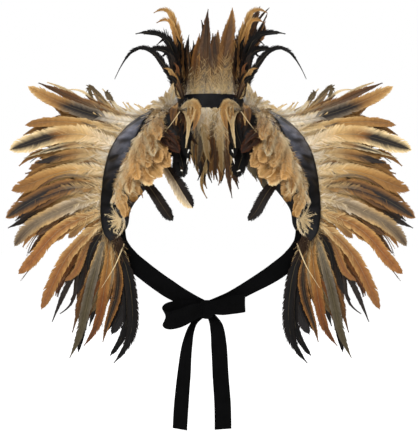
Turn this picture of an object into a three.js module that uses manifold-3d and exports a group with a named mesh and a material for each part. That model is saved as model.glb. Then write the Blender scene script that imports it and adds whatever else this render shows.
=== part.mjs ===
import * as THREE from "three";
import Module from "manifold-3d";

const wasm = await Module();
wasm.setup();
const { Manifold, Mesh } = wasm;

// Feather cape, in millimetres. The front faces -Y, +Z is up and the origin is the middle of the neck's base.
// The pieces on the left of the front view are built and those on the right are their mirror images.

// Driving sizes
const CLOTH = 1.6;
const SATIN = 1.2;
const RIBBON = 1.4;
const RIBBON_WIDTH = 32;
const SEAM = 0.35;
const BAND_LIFT = 1.05;
const NECK_HALF_WIDTH = 60;
const NECK_HALF_DEPTH = 54;
const NECK_BAND_HEIGHT = 27;
const NECK_DROP = 8;
const NECK_END = 163;
const BLADE_THICK = 1.6;
const TIP_FOLLOWS = 0.5;
const STRIP_WIDTH = 4.6;
const STRIP_THICK = 2.2;
const STRIP_LIFT = 1.85;
const FIRST_LAYER = { crest: 1.9, chest: 3.8 };
const NEXT_LAYER = { crest: 2.65, chest: 5.4 };

const COLOURS = {
  satin: 0x1b1b22, cloth: 0x17171a, ribbon: 0x0a0a0b,
  tan: 0xb9905c, cream: 0xd9ccb0, brown: 0x6b4a30, dark: 0x2a211c,
};

// Points round the neck band, by the angle from the middle of the back, left negative
function neckPoint(angle, grow, height) {
  const a = THREE.MathUtils.degToRad(angle);
  const x = (NECK_HALF_WIDTH + grow) * Math.sin(a);
  const y = (NECK_HALF_DEPTH + grow) * Math.cos(a);
  return new THREE.Vector3(x, y, 2 - NECK_DROP * (1 - Math.cos(a)) + height);
}

// Where a yoke is sewn to the neck band
function neckEdge(angle, grow) {
  return neckPoint(angle, grow, 3).toArray();
}

// Yoke sections, from the side of the neck, over the shoulder, to the lower tip on the chest.
// The outer edge is the armhole side, the inner edge is the neckline and the open front.
const FRONT_YOKE = [
  { outer: [-66, 3, 14], inner: neckEdge(-103, 2.4), bulge: 0, band: 0.2 },
  { outer: [-107, 2, -6], inner: neckEdge(-122, 2.0), bulge: 6, band: 0.26 },
  { outer: [-139.5, 0, -26], inner: neckEdge(-140, 2.0), bulge: 12, band: 0.33 },
  { outer: [-161, -8, -48], inner: neckEdge(-158, 2.4), bulge: 16, band: 0.3 },
  { outer: [-178.6, -26, -78], inner: [-45, -84, -56], bulge: 15, band: 0.32 },
  { outer: [-187.6, -50, -114], inner: [-74, -94, -96], bulge: 11, band: 0.31 },
  { outer: [-192, -68, -153], inner: [-118, -98, -134], bulge: 7, band: 0.32 },
  { outer: [-193, -79, -192], inner: [-149, -96, -180], bulge: 4, band: 0.58 },
  { outer: [-188, -85, -223], inner: [-152, -93, -212], bulge: 2, band: 0.62 },
  { outer: [-177, -87, -238], inner: [-166, -90, -235], bulge: 0, band: 0.6 },
];
const BACK_YOKE = [
  { outer: [-66, 6.3, 14], inner: neckEdge(-84, 0.9), bulge: 0, band: 0.2 },
  { outer: [-107, 18, -6], inner: neckEdge(-73, 1.1), bulge: 4, band: 0.3 },
  { outer: [-139.5, 21, -27], inner: neckEdge(-63, 1.2), bulge: 10, band: 0.33 },
  { outer: [-161, 30, -49], inner: neckEdge(-54, 1.4), bulge: 14, band: 0.3 },
  { outer: [-178, 46, -80], inner: [-58, 66, -42], bulge: 14, band: 0.32 },
  { outer: [-186, 68, -116], inner: [-82, 86, -90], bulge: 11, band: 0.32 },
  { outer: [-190, 82, -154], inner: [-114, 97, -138], bulge: 7, band: 0.36 },
  { outer: [-191, 92, -192], inner: [-146, 100, -182], bulge: 4, band: 0.56 },
  { outer: [-186, 97, -221], inner: [-152, 101, -212], bulge: 2, band: 0.62 },
  { outer: [-176, 99, -236], inner: [-166, 101, -234], bulge: 0, band: 0.6 },
];

// Wing feathers: the place of the root along the yoke's outer edge (0 at the neck, 9 at the lower tip),
// the tip as seen from the front, the greatest width, and how far the middle bows up and outward.
const WING_FRONT = [
  { at: 1.9, tip: [-327, 38], width: 30, bow: -14 },
  { at: 2.8, tip: [-332, -32], width: 20, bow: 8 },
  { at: 3.6, tip: [-359, -76], width: 32, bow: 18 },
  { at: 4.3, tip: [-314, -100], width: 22, bow: 6 },
  { at: 5.0, tip: [-354, -149], width: 28, bow: 8 },
  { at: 5.7, tip: [-364, -198], width: 28, bow: 8 },
  { at: 6.3, tip: [-348, -248], width: 28, bow: 6 },
  { at: 6.9, tip: [-341, -297], width: 24, bow: 12 },
  { at: 7.5, tip: [-300, -360], width: 30, bow: 16 },
];
const WING_MIDDLE = [
  { at: 1.0, tip: [-215, 36], width: 13, bow: -40 },
  { at: 1.7, tip: [-296, 47], width: 14, bow: -14 },
  { at: 2.4, tip: [-276, -14], width: 24, bow: 0 },
  { at: 3.2, tip: [-338, -50], width: 26, bow: 8 },
  { at: 4.0, tip: [-345, -106], width: 20, bow: 8 },
  { at: 4.7, tip: [-338, -132], width: 24, bow: 6 },
  { at: 5.3, tip: [-350, -172], width: 26, bow: 6 },
  { at: 6.0, tip: [-363, -216], width: 24, bow: 6 },
  { at: 6.6, tip: [-326, -262], width: 24, bow: 10 },
  { at: 7.2, tip: [-276, -338], width: 22, bow: 18 },
  { at: 7.8, tip: [-283, -385], width: 14, bow: 14 },
];
const WING_INNER = [
  { at: 0.9, tip: [-184, 20], width: 12, bow: -28 },
  { at: 1.4, tip: [-252, 8], width: 18, bow: -14 },
  { at: 2.1, tip: [-300, 20], width: 24, bow: -8 },
  { at: 2.9, tip: [-316, -44], width: 24, bow: 4 },
  { at: 3.7, tip: [-348, -68], width: 24, bow: 12 },
  { at: 4.4, tip: [-336, -118], width: 22, bow: 6 },
  { at: 5.2, tip: [-346, -164], width: 24, bow: 6 },
  { at: 5.9, tip: [-352, -204], width: 26, bow: 6 },
  { at: 6.6, tip: [-338, -252], width: 26, bow: 6 },
  { at: 7.3, tip: [-286, -336], width: 24, bow: 14 },
  { at: 8.0, tip: [-252, -346], width: 22, bow: 12 },
];
const WING_LOWER = [
  { at: 8.0, tip: [-249, -446], width: 20, bow: -6 },
  { at: 8.35, tip: [-224, -424], width: 20, bow: -26 },
  { at: 8.7, tip: [-190, -418], width: 18, bow: -30 },
  { at: 9.0, tip: [-172, -455], width: 22, bow: -58 },
];
const WING_BACK_INNER = [
  { at: 2.1, tip: [-290, 10], width: 26, bow: -8 },
  { at: 2.9, tip: [-312, -42], width: 26, bow: 4 },
  { at: 3.7, tip: [-326, -72], width: 26, bow: 8 },
  { at: 4.5, tip: [-338, -130], width: 26, bow: 6 },
  { at: 5.3, tip: [-342, -180], width: 26, bow: 6 },
  { at: 6.1, tip: [-340, -230], width: 26, bow: 6 },
  { at: 6.9, tip: [-312, -258], width: 24, bow: 10 },
  { at: 7.7, tip: [-280, -344], width: 26, bow: 12 },
  { at: 8.5, tip: [-222, -398], width: 24, bow: -10 },
];
const WING_BACK = [
  { at: 1.6, tip: [-254, 8], width: 24, bow: -6 },
  { at: 2.5, tip: [-288, -20], width: 28, bow: 2 },
  { at: 3.3, tip: [-322, -66], width: 28, bow: 8 },
  { at: 4.1, tip: [-332, -108], width: 28, bow: 6 },
  { at: 4.9, tip: [-336, -154], width: 28, bow: 6 },
  { at: 5.7, tip: [-336, -204], width: 28, bow: 6 },
  { at: 6.5, tip: [-318, -240], width: 26, bow: 8 },
  { at: 7.3, tip: [-290, -318], width: 28, bow: 12 },
  { at: 8.1, tip: [-244, -352], width: 26, bow: 8 },
  { at: 8.9, tip: [-182, -412], width: 26, bow: -34 },
];

// Chest feathers: the root's place along the yoke, the tip from the front, the width and the lift of the tip.
const CHEST_LOW = [
  { at: 3.5, tip: [-40, -92], width: 16, lift: 0.1 },
  { at: 4.1, tip: [-46, -126], width: 26, lift: 0.1 },
  { at: 5.8, tip: [-66, -202], width: 22, lift: 0.1 },
  { at: 6.3, tip: [-134, -168], width: 16, lift: 0.1 },
  { at: 6.9, tip: [-148, -194], width: 14, lift: 0.1 },
];
const CHEST_LONG = { at: 5.0, tip: [-31, -180], width: 34, lift: 0.1 };
const CHEST_MIDDLE = [
  { at: 3.0, tip: [-54, -84], width: 18, lift: 0.26 },
  { at: 3.6, tip: [-70, -108], width: 20, lift: 0.26 },
  { at: 4.2, tip: [-84, -126], width: 20, lift: 0.26 },
  { at: 4.8, tip: [-102, -140], width: 20, lift: 0.26 },
  { at: 5.4, tip: [-124, -156], width: 20, lift: 0.26 },
  { at: 6.0, tip: [-150, -196], width: 16, lift: 0.26 },
];
const CHEST_HIGH = [
  { at: 2.5, tip: [-84, -66], width: 18, lift: 0.46 },
  { at: 3.1, tip: [-98, -90], width: 20, lift: 0.46 },
  { at: 3.7, tip: [-110, -110], width: 20, lift: 0.46 },
  { at: 4.3, tip: [-124, -130], width: 20, lift: 0.46 },
  { at: 4.9, tip: [-140, -156], width: 20, lift: 0.46 },
];

// Feathers rooted on the yoke near the neck: the root's place and share, the spine's middle and the tip
const NECK_CURLS = [
  { at: 1.3, share: 0.13, via: [-66, -80, 14], tip: [-64, -94, -34], width: 18 },
  { at: 1.8, share: 0.13, via: [-10, -84, 30], tip: [-31, -96, -45], width: 18 },
  { at: 2.3, share: 0.13, via: [-30, -100, -20], tip: [-44, -122, -76], width: 12 },
];
const SHOULDER = [
  { at: 0.22, share: 0.7, tip: [-66, -28, 44], width: 14 },
  { at: 0.42, share: 0.7, tip: [-80, -28, 30], width: 14 },
  { at: 0.62, share: 0.68, tip: [-93, -26, 19], width: 14 },
  { at: 0.82, share: 0.66, tip: [-107, -26, 9], width: 14 },
  { at: 1.02, share: 0.66, tip: [-120, -32, -4], width: 14 },
];

// Collar: the angle of the root from the middle of the back, the spine's middle and the tip, and the width
const COLLAR_INNER = [
  { angle: -46, via: [-40, 40, 84], tip: [-39, 50, 137], width: 18 },
  { angle: -29, via: [-26, 48, 90], tip: [-20, 56, 140], width: 18 },
  { angle: -12, via: [-8, 54, 96], tip: [-4, 62, 185], width: 16 },
  { angle: 5, via: [10, 54, 92], tip: [14, 62, 146], width: 18 },
  { angle: 22, via: [30, 48, 96], tip: [40, 58, 187], width: 22 },
  { angle: 39, via: [48, 42, 110], tip: [91, 52, 189], width: 26 },
];
const COLLAR_OUTER = [
  { angle: -56, via: [-50, 44, 80], tip: [-50, 66, 116], width: 18 },
  { angle: -38, via: [-34, 58, 90], tip: [-32, 78, 128], width: 20 },
  { angle: -20, via: [-18, 66, 96], tip: [-14, 82, 157], width: 20 },
  { angle: -2, via: [2, 68, 96], tip: [4, 86, 142], width: 20 },
  { angle: 16, via: [22, 66, 96], tip: [28, 82, 158], width: 20 },
  { angle: 34, via: [42, 58, 100], tip: [60, 76, 162], width: 22 },
  { angle: 50, via: [56, 44, 106], tip: [109, 64, 187], width: 24 },
];
const COLLAR_SIDE = [
  { angle: 68, via: [48, 30, 210], tip: [104, 20, 172], width: 20 },
  { angle: 84, via: [58, 6, 160], tip: [98, -8, 112], width: 18 },
  { angle: 98, via: [60, -8, 166], tip: [136, -26, 131], width: 18 },
  { angle: 112, via: [112, -30, 178], tip: [172, -46, 47], width: 12 },
  { angle: 126, via: [62, -44, 66], tip: [84, -58, 68], width: 14 },
];

// Nape feathers hang behind the open front from the lower edge of the neck band
const NAPE_INNER = [
  { angle: -34, via: [-26, 58, -60], tip: [-26, 60, -112], width: 20 },
  { angle: -20, via: [-16, 60, -70], tip: [-13, 60, -137], width: 18 },
  { angle: -6, via: [-4, 62, -80], tip: [-5, 62, -164], width: 16 },
  { angle: 8, via: [10, 62, -76], tip: [14, 62, -140], width: 20 },
  { angle: 22, via: [24, 60, -80], tip: [40, 62, -164], width: 20 },
  { angle: 38, via: [64, 60, -60], tip: [105, 63, -164], width: 34 },
];
const NAPE_OUTER = [
  { angle: -44, via: [-42, 66, -50], tip: [-44, 72, -116], width: 24 },
  { angle: -27, via: [-22, 72, -60], tip: [-20, 78, -122], width: 20 },
  { angle: -12, via: [-8, 74, -70], tip: [-6, 80, -146], width: 20 },
  { angle: 3, via: [6, 76, -70], tip: [18, 82, -136], width: 20 },
  { angle: 18, via: [22, 74, -74], tip: [52, 80, -146], width: 22 },
  { angle: 32, via: [40, 72, -54], tip: [56, 78, -118], width: 20 },
];

// Ribbon: centre line, the direction of its width, and how much of the full width isn't gathered there
const STRAP_LEFT = [
  { at: [-162, -88.8, -214], wide: [0.93, -0.21, 0.29], full: 0.7 },
  { at: [-159, -81, -240], wide: [0.9, -0.1, 0.4], full: 0.75 },
  { at: [-146, -76, -266], wide: [0.72, -0.04, 0.7], full: 1 },
  { at: [-120, -80, -289], wide: [0.57, -0.06, 0.82], full: 1 },
  { at: [-74, -94, -322], wide: [0.55, -0.06, 0.84], full: 1 },
  { at: [-38, -103, -342], wide: [0.46, -0.1, 0.87], full: 0.85 },
  { at: [-7, -107, -354], wide: [0.3, -0.1, 0.9], full: 0.6 },
];
const STRAP_RIGHT = [
  { at: [162, -88.8, -214], wide: [-0.93, -0.21, 0.29], full: 0.7 },
  { at: [159, -81, -240], wide: [-0.9, -0.1, 0.4], full: 0.75 },
  { at: [146, -76, -266], wide: [-0.72, -0.04, 0.7], full: 1 },
  { at: [118, -81, -290], wide: [-0.57, -0.1, 0.8], full: 1 },
  { at: [68, -97, -320], wide: [-0.5, -0.4, 0.74], full: 0.85 },
  { at: [34, -104, -338], wide: [-0.4, -0.2, 0.8], full: 0.7 },
  { at: [-7, -107, -354], wide: [-0.3, -0.1, 0.9], full: 0.6 },
];
const LOOP_LEFT = [
  { at: [-7, -124, -355], wide: [0.1, 0, 1], full: 0.62 },
  { at: [-32, -134, -363], wide: [0.16, 0, 1], full: 0.9 },
  { at: [-58, -135, -374], wide: [0.1, 0, 1], full: 1 },
  { at: [-74, -131, -376], wide: [0.02, 0, 1], full: 1 },
  { at: [-78, -126, -370], wide: [0, 0, 1], full: 1 },
  { at: [-73, -120.5, -362], wide: [-0.04, 0, 1], full: 1 },
  { at: [-56, -118, -358], wide: [0, 0, 1], full: 1 },
  { at: [-32, -116.5, -355], wide: [0, 0, 1], full: 0.85 },
  { at: [-7, -117, -355], wide: [0, 0, 1], full: 0.62 },
];
const LOOP_RIGHT = [
  { at: [-7, -124, -355], wide: [-0.1, 0, 1], full: 0.62 },
  { at: [20, -133, -353], wide: [-0.08, 0, 1], full: 0.9 },
  { at: [42, -134, -349], wide: [-0.04, 0, 1], full: 1 },
  { at: [56, -131, -347], wide: [0, 0, 1], full: 1 },
  { at: [60, -126, -346], wide: [0, 0, 1], full: 1 },
  { at: [55, -120.5, -346], wide: [0, 0, 1], full: 1 },
  { at: [38, -118, -347], wide: [0, 0, 1], full: 1 },
  { at: [18, -117, -352], wide: [0, 0, 1], full: 0.85 },
  { at: [-7, -117, -355], wide: [0, 0, 1], full: 0.62 },
];
const TAIL_LEFT = [
  { at: [-12, -115, -364], wide: [0.6, -0.6, -0.3], full: 0.4 },
  { at: [-30, -114, -384], wide: [0.62, -0.7, 0.3], full: 0.55 },
  { at: [-41, -112, -420], wide: [0.66, -0.7, 0.12], full: 0.85 },
  { at: [-47, -109, -475], wide: [0.78, -0.62, 0.08], full: 0.95 },
  { at: [-51, -106, -525], wide: [0.8, -0.6, 0.06], full: 1 },
  { at: [-54, -104, -569], wide: [0.8, -0.6, 0.05], full: 1 },
];
const TAIL_RIGHT = [
  { at: [-2, -115, -364], wide: [0.8, 0.4, -0.2], full: 0.4 },
  { at: [10, -114, -388], wide: [0.86, 0.4, -0.1], full: 0.8 },
  { at: [15, -111, -423], wide: [0.9, 0.42, 0], full: 0.95 },
  { at: [18, -108, -478], wide: [0.88, 0.46, 0], full: 1 },
  { at: [21, -106, -525], wide: [0.9, 0.42, 0], full: 1 },
  { at: [22, -104, -569], wide: [0.92, 0.38, 0], full: 1 },
];
const KNOT = { centre: [-7, -116, -358], half: [13, 13, 17] };

// Small tools for points and tables
const vec = (p) => new THREE.Vector3(p[0], p[1], p[2]);
const mix = (a, b, t) => a + (b - a) * t;

function range(from, to, step) {
  const count = Math.max(Math.round((to - from) / step), 1);
  return Array.from({ length: count + 1 }, (_, i) => mix(from, to, i / count));
}

function curveOf(points) {
  return new THREE.CatmullRomCurve3(points.map(vec), false, "centripetal");
}

function column(table, name, row) {
  const low = Math.min(Math.max(Math.floor(row), 0), table.length - 2);
  return mix(table[low][name], table[low + 1][name], row - low);
}

// Bodies are lists of corners and triangles, turned outward by their signed volume
function body(corners, triangles) {
  let volume = 0;
  for (const [a, b, c] of triangles) {
    volume += corners[a].dot(corners[b].clone().cross(corners[c]));
  }
  const faces = volume > 0 ? triangles : triangles.map(([a, b, c]) => [a, c, b]);
  return { corners, faces };
}

function loft(rings, firstPoint, lastPoint) {
  const corners = rings.flat();
  const n = rings[0].length;
  const triangles = [];
  for (let r = 0; r < rings.length - 1; r += 1) {
    for (let k = 0; k < n; k += 1) {
      const a = r * n + k;
      const b = r * n + ((k + 1) % n);
      triangles.push([a, b, b + n], [a, b + n, a + n]);
    }
  }
  const cap = (start, reverse, point) => {
    if (point) {
      corners.push(point);
      const p = corners.length - 1;
      for (let k = 0; k < n; k += 1) {
        const edge = [start + k, start + ((k + 1) % n)];
        triangles.push(reverse ? [edge[1], edge[0], p] : [edge[0], edge[1], p]);
      }
      return;
    }
    for (let k = 1; k < n - 1; k += 1) {
      triangles.push(reverse ? [start, start + k + 1, start + k] : [start, start + k, start + k + 1]);
    }
  };
  cap(0, true, firstPoint);
  cap((rings.length - 1) * n, false, lastPoint);
  return body(corners, triangles);
}

// A wall of cloth: a grid of points with normals, from one distance to another along them
function wall(grid, low, high) {
  const rings = grid.map((row) => [
    ...row.map((cell) => cell.point.clone().addScaledVector(cell.normal, low)),
    ...[...row].reverse().map((cell) => cell.point.clone().addScaledVector(cell.normal, high)),
  ]);
  const n = rings[0].length;
  const corners = rings.flat();
  const triangles = [];
  for (let r = 0; r < rings.length - 1; r += 1) {
    for (let k = 0; k < n; k += 1) {
      const a = r * n + k;
      const b = r * n + ((k + 1) % n);
      triangles.push([a, b, b + n], [a, b + n, a + n]);
    }
  }
  const half = n / 2;
  for (const [start, reverse] of [[0, true], [(rings.length - 1) * n, false]]) {
    for (let k = 0; k < half - 1; k += 1) {
      const [a, b, c, d] = [start + k, start + k + 1, start + n - 2 - k, start + n - 1 - k];
      triangles.push(...(reverse ? [[a, c, b], [a, d, c]] : [[a, b, c], [a, c, d]]));
    }
  }
  return body(corners, triangles);
}

function toManifold(solid) {
  const vertProperties = new Float32Array(solid.corners.flatMap((p) => [p.x, p.y, p.z]));
  const triVerts = new Uint32Array(solid.faces.flat());
  return new Manifold(new Mesh({ numProp: 3, vertProperties, triVerts }));
}

function fromManifold(manifold) {
  const mesh = manifold.getMesh();
  const corners = [];
  for (let i = 0; i < mesh.vertProperties.length; i += mesh.numProp) {
    corners.push(vec(mesh.vertProperties.slice(i, i + 3)));
  }
  const faces = [];
  for (let i = 0; i < mesh.triVerts.length; i += 3) {
    faces.push([mesh.triVerts[i], mesh.triVerts[i + 1], mesh.triVerts[i + 2]]);
  }
  return { corners, faces };
}

function fuse(solids) {
  return fromManifold(Manifold.union(solids.map(toManifold)));
}

function mirrored(solid) {
  const corners = solid.corners.map((p) => new THREE.Vector3(-p.x, p.y, p.z));
  return { corners, faces: solid.faces.map(([a, b, c]) => [a, c, b]) };
}

// A yoke's surface: the point and the outward normal at a row and at a share from the inner to the outer edge
function yokeSurface(table, facing) {
  const outer = curveOf(table.map((row) => row.outer));
  const inner = curveOf(table.map((row) => row.inner));
  const last = table.length - 1;
  const flat = (row, share) => {
    const a = inner.getPoint(row / last);
    const b = outer.getPoint(row / last);
    return a.lerp(b, share);
  };
  const flatNormal = (row) => {
    const step = 0.05;
    const low = Math.max(row - step, 0);
    const high = Math.min(row + step, last);
    const run = flat(high, 0.6).sub(flat(low, 0.6));
    const cross = flat(row, 1).sub(flat(row, 0));
    const normal = run.cross(cross).normalize();
    return normal.dot(facing) < 0 ? normal.negate() : normal;
  };
  const point = (row, share) => {
    const rise = column(table, "bulge", row) * 4 * share * (1 - share);
    return flat(row, share).addScaledVector(flatNormal(row), rise);
  };
  return (row, share) => {
    const step = 0.04;
    const du = point(row, Math.min(share + step, 1)).sub(point(row, Math.max(share - step, 0)));
    const dt = point(Math.min(row + step, last), share).sub(point(Math.max(row - step, 0), share));
    const normal = dt.cross(du).normalize();
    if (normal.dot(flatNormal(row)) < 0) normal.negate();
    return { point: point(row, share), normal };
  };
}

const FRONT_FACING = new THREE.Vector3(-0.35, -0.7, 0.6);
const BACK_FACING = new THREE.Vector3(-0.35, 0.7, 0.6);
const frontSurface = yokeSurface(FRONT_YOKE, FRONT_FACING);
const backSurface = yokeSurface(BACK_YOKE, BACK_FACING);

const YOKE_ROWS = [0, 0.25, 0.5, 0.75, 1.1, ...range(1.7, 9, 0.73)];

function yoke(table, surface) {
  const grid = YOKE_ROWS.map((row) => {
    const band = column(table, "band", row);
    const shares = [0, (1 - band) / 3, (2 - 2 * band) / 3, 1 - band, 1 - band / 2, 1];
    return shares.map((share) => surface(row, share));
  });
  return wall(grid, -CLOTH, 0);
}

// The satin band lies on the yoke along its outer edge
function edgeBand(table, surface, skip) {
  const grid = YOKE_ROWS.slice(skip).map((row) => {
    const band = column(table, "band", row);
    return [1 - band, 1 - band / 2, 1].map((share) => surface(row, share));
  });
  return wall(grid, BAND_LIFT, BAND_LIFT + SATIN);
}

// A strongly bent blade is a chain of convex pieces, so that its walls don't cross at the bend
function hullChain(rings) {
  const links = rings.slice(1).map((ring, i) => Manifold.hull([...rings[i], ...ring].map((p) => p.toArray())));
  return fromManifold(Manifold.union(links));
}

// One feather: a four-sided blade that starts at the root as a quill and ends in a point
const PLAIN = { steps: [0, 0.3, 0.76], widths: [0.16, 0.86, 1] };
const ROUND = { steps: [0, 0.28, 0.62, 0.88], widths: [0.16, 0.84, 1, 0.7] };
const CURLED = {
  steps: [0, 0.2, 0.38, 0.5, 0.62, 0.8, 0.92],
  widths: [0.2, 0.7, 0.9, 1, 0.95, 0.75, 0.4],
  hulls: true,
};

function blade(root, via, tip, width, face, form = PLAIN) {
  const spine = new THREE.QuadraticBezierCurve3(root, via, tip);
  const rings = form.steps.map((t, i) => {
    const centre = spine.getPoint(t);
    const tangent = spine.getTangent(t);
    const side = tangent.clone().cross(face).normalize();
    const up = side.clone().cross(tangent).normalize();
    const w = (width * form.widths[i]) / 2;
    const h = (BLADE_THICK * mix(1, 0.75, t)) / 2;
    return [
      centre.clone().addScaledVector(side, w),
      centre.clone().addScaledVector(up, h),
      centre.clone().addScaledVector(side, -w),
      centre.clone().addScaledVector(up, -h),
    ];
  });
  if (form.hulls) return hullChain([...rings, [tip]]);
  return loft(rings, null, tip);
}

// The narrow backing that a row of feathers is fused into
function backing(points, normals, width = STRIP_WIDTH, thick = STRIP_THICK) {
  const rings = points.map((point, i) => {
    const before = points[Math.max(i - 1, 0)];
    const after = points[Math.min(i + 1, points.length - 1)];
    const tangent = after.clone().sub(before).normalize();
    const side = tangent.clone().cross(normals[i]).normalize();
    const up = side.clone().cross(tangent).normalize();
    const w = width / 2;
    const h = thick / 2;
    return [
      point.clone().addScaledVector(side, w).addScaledVector(up, h),
      point.clone().addScaledVector(side, -w).addScaledVector(up, h),
      point.clone().addScaledVector(side, -w).addScaledVector(up, -h),
      point.clone().addScaledVector(side, w).addScaledVector(up, -h),
    ];
  });
  return loft(rings, null, null);
}

// A wing row: its backing runs behind the yoke's outer edge, its feathers fan out to their tips
function wingRow(table, surface, layers, tipDepth, form) {
  const rootAt = (at) => {
    const edge = surface(Math.min(at, 9), 1).point;
    const chest = THREE.MathUtils.smoothstep(at, 0.6, 3.6);
    const first = mix(FIRST_LAYER.crest, FIRST_LAYER.chest, chest);
    const next = mix(NEXT_LAYER.crest, NEXT_LAYER.chest, chest);
    const behind = first + (Math.abs(layers) - 1) * next;
    const inset = Math.abs(layers);
    return new THREE.Vector3(edge.x + inset, edge.y + Math.sign(layers) * behind, edge.z - behind * 0.1);
  };
  const rows = range(table[0].at - 0.12, Math.min(table[table.length - 1].at + 0.12, 9), 0.8);
  const depthAxis = new THREE.Vector3(0, 1, 0);
  const strip = backing(rows.map(rootAt), rows.map(() => depthAxis));
  const blades = table.map(({ at, tip, width, bow }) => {
    const root = rootAt(at);
    const end = new THREE.Vector3(tip[0], root.y * TIP_FOLLOWS + tipDepth, tip[1]);
    const middle = root.clone().lerp(end, 0.45);
    const across = new THREE.Vector3(end.z - root.z, 0, root.x - end.x).normalize();
    middle.addScaledVector(across, bow);
    return blade(root, middle, end, width, depthAxis, form);
  });
  return fuse([strip, ...blades]);
}

// A chest row: its backing lies on the yoke and its feathers point down and inward, lifted off the cloth
function chestRow(table, shareAt, off = STRIP_LIFT) {
  const rootAt = (at) => {
    const cell = frontSurface(at, shareAt(at));
    return { point: cell.point.addScaledVector(cell.normal, off), normal: cell.normal };
  };
  const rows = range(table[0].at - 0.12, table[table.length - 1].at + 0.12, 0.5);
  const cells = rows.map(rootAt);
  const strip = backing(cells.map((c) => c.point), cells.map((c) => c.normal));
  const blades = table.map(({ at, tip, width, lift }) => {
    const { point, normal } = rootAt(at);
    const dx = tip[0] - point.x;
    const dz = tip[1] - point.z;
    const rise = lift * Math.hypot(dx, dz);
    const dy = (rise - dx * normal.x - dz * normal.z) / Math.min(normal.y, -0.35);
    const end = new THREE.Vector3(tip[0], Math.max(point.y + dy, -150), tip[1]);
    const via = point.clone().lerp(end, 0.4).addScaledVector(normal, rise * 0.35 + 1);
    return blade(point, via, end, width, normal);
  });
  return fuse([strip, ...blades]);
}

function neckOutward(angle) {
  return neckPoint(angle, 1, 0).sub(neckPoint(angle, 0, 0)).normalize();
}

function neckBand() {
  const grid = range(-NECK_END, NECK_END, 12).map((angle) => [
    { point: neckPoint(angle, 0, 0), normal: neckOutward(angle) },
    { point: neckPoint(angle, 0, NECK_BAND_HEIGHT), normal: neckOutward(angle) },
  ]);
  return wall(grid, -CLOTH, 0);
}

function neckRow(table, grow, height, form, turned) {
  const first = table[0].angle;
  const last = table[table.length - 1].angle;
  const angles = range(first - 3, last + 3, 9);
  const rootAt = (angle) => neckPoint(angle, grow, height);
  const strip = backing(angles.map(rootAt), angles.map(neckOutward), 3.6, 2.2);
  const blades = table.map(({ angle, via, tip, width }) =>
    blade(rootAt(angle), vec(via), vec(tip), width, turned ?? neckOutward(angle), form));
  return fuse([strip, ...blades]);
}

// Rows near the neck, rooted on the yoke; a feather with no middle given rises off the cloth
function placedRow(table, face, form) {
  const rootAt = (at, share) => {
    const cell = frontSurface(at, share);
    return { point: cell.point.addScaledVector(cell.normal, STRIP_LIFT), normal: cell.normal };
  };
  const cells = [
    rootAt(table[0].at - 0.06, table[0].share),
    ...table.map((f) => rootAt(f.at, f.share)),
    rootAt(table[table.length - 1].at + 0.06, table[table.length - 1].share),
  ];
  const strip = backing(cells.map((c) => c.point), cells.map((c) => c.normal), 3.6, 2.2);
  const blades = table.map((f, i) => {
    const { point, normal } = cells[i + 1];
    const tip = vec(f.tip);
    const via = f.via ? vec(f.via) : point.clone().lerp(tip, 0.45).addScaledVector(normal, 7);
    return blade(point, via, tip, f.width, face, form);
  });
  return fuse([strip, ...blades]);
}

// Ribbon: a thin strip along its centre line
function ribbon(table, steps) {
  const line = curveOf(table.map((row) => row.at));
  const wide = curveOf(table.map((row) => row.wide));
  const grid = range(0, 1, 1 / steps).map((t) => {
    const centre = line.getPoint(t);
    const tangent = line.getTangent(t);
    const across = wide.getPoint(t);
    across.addScaledVector(tangent, -across.dot(tangent)).normalize();
    const normal = tangent.clone().cross(across).normalize();
    const half = (RIBBON_WIDTH / 2) * column(table, "full", t * (table.length - 1));
    return [-half, half].map((k) => ({ point: centre.clone().addScaledVector(across, k), normal }));
  });
  return wall(grid, -RIBBON / 2, RIBBON / 2);
}

function knotBody(grow) {
  const rings = [];
  for (let i = 1; i < 8; i += 1) {
    const a = (Math.PI * i) / 8;
    const ring = [];
    for (let k = 0; k < 12; k += 1) {
      const b = (Math.PI * 2 * k) / 12;
      const soft = (c) => Math.sign(c) * Math.abs(c) ** 0.7;
      ring.push(new THREE.Vector3(
        KNOT.centre[0] + (KNOT.half[0] + grow) * soft(Math.sin(a)) * soft(Math.cos(b)),
        KNOT.centre[1] + (KNOT.half[1] + grow) * soft(Math.sin(a)) * soft(Math.sin(b)),
        KNOT.centre[2] + (KNOT.half[2] + grow) * soft(Math.cos(a)),
      ));
    }
    rings.push(ring);
  }
  const [x, y, z] = KNOT.centre;
  const reach = KNOT.half[2] + grow;
  return loft(rings, new THREE.Vector3(x, y, z + reach), new THREE.Vector3(x, y, z - reach));
}

// What enters the knot is cut off just outside it
const knotRoom = toManifold(knotBody(SEAM + 0.1));
const cutAtKnot = (solid) => {
  const parts = toManifold(solid).subtract(knotRoom).decompose();
  parts.sort((a, b) => b.volume() - a.volume());
  return fromManifold(parts[0]);
};

// The cape
const group = new THREE.Group();
group.name = "feather_cape";

function add(name, solid, colour, roughness) {
  const geometry = new THREE.BufferGeometry();
  const flat = solid.corners.flatMap((p) => [p.x, p.y, p.z]);
  geometry.setAttribute("position", new THREE.Float32BufferAttribute(flat, 3));
  geometry.setIndex(solid.faces.flat());
  const material = new THREE.MeshStandardMaterial({ color: colour, roughness });
  const mesh = new THREE.Mesh(geometry, material);
  mesh.name = name;
  group.add(mesh);
}

function addPair(name, solid, colour, roughness) {
  add(`${name}_left`, solid, colour, roughness);
  add(`${name}_right`, mirrored(solid), colour, roughness);
}

add("neck_band", neckBand(), COLOURS.satin, 0.5);
addPair("yoke_front", yoke(FRONT_YOKE, frontSurface), COLOURS.cloth, 0.9);
addPair("yoke_back", yoke(BACK_YOKE, backSurface), COLOURS.cloth, 0.9);
addPair("band_front", edgeBand(FRONT_YOKE, frontSurface, 3), COLOURS.satin, 0.45);
addPair("band_back", edgeBand(BACK_YOKE, backSurface, 6), COLOURS.satin, 0.45);

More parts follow.
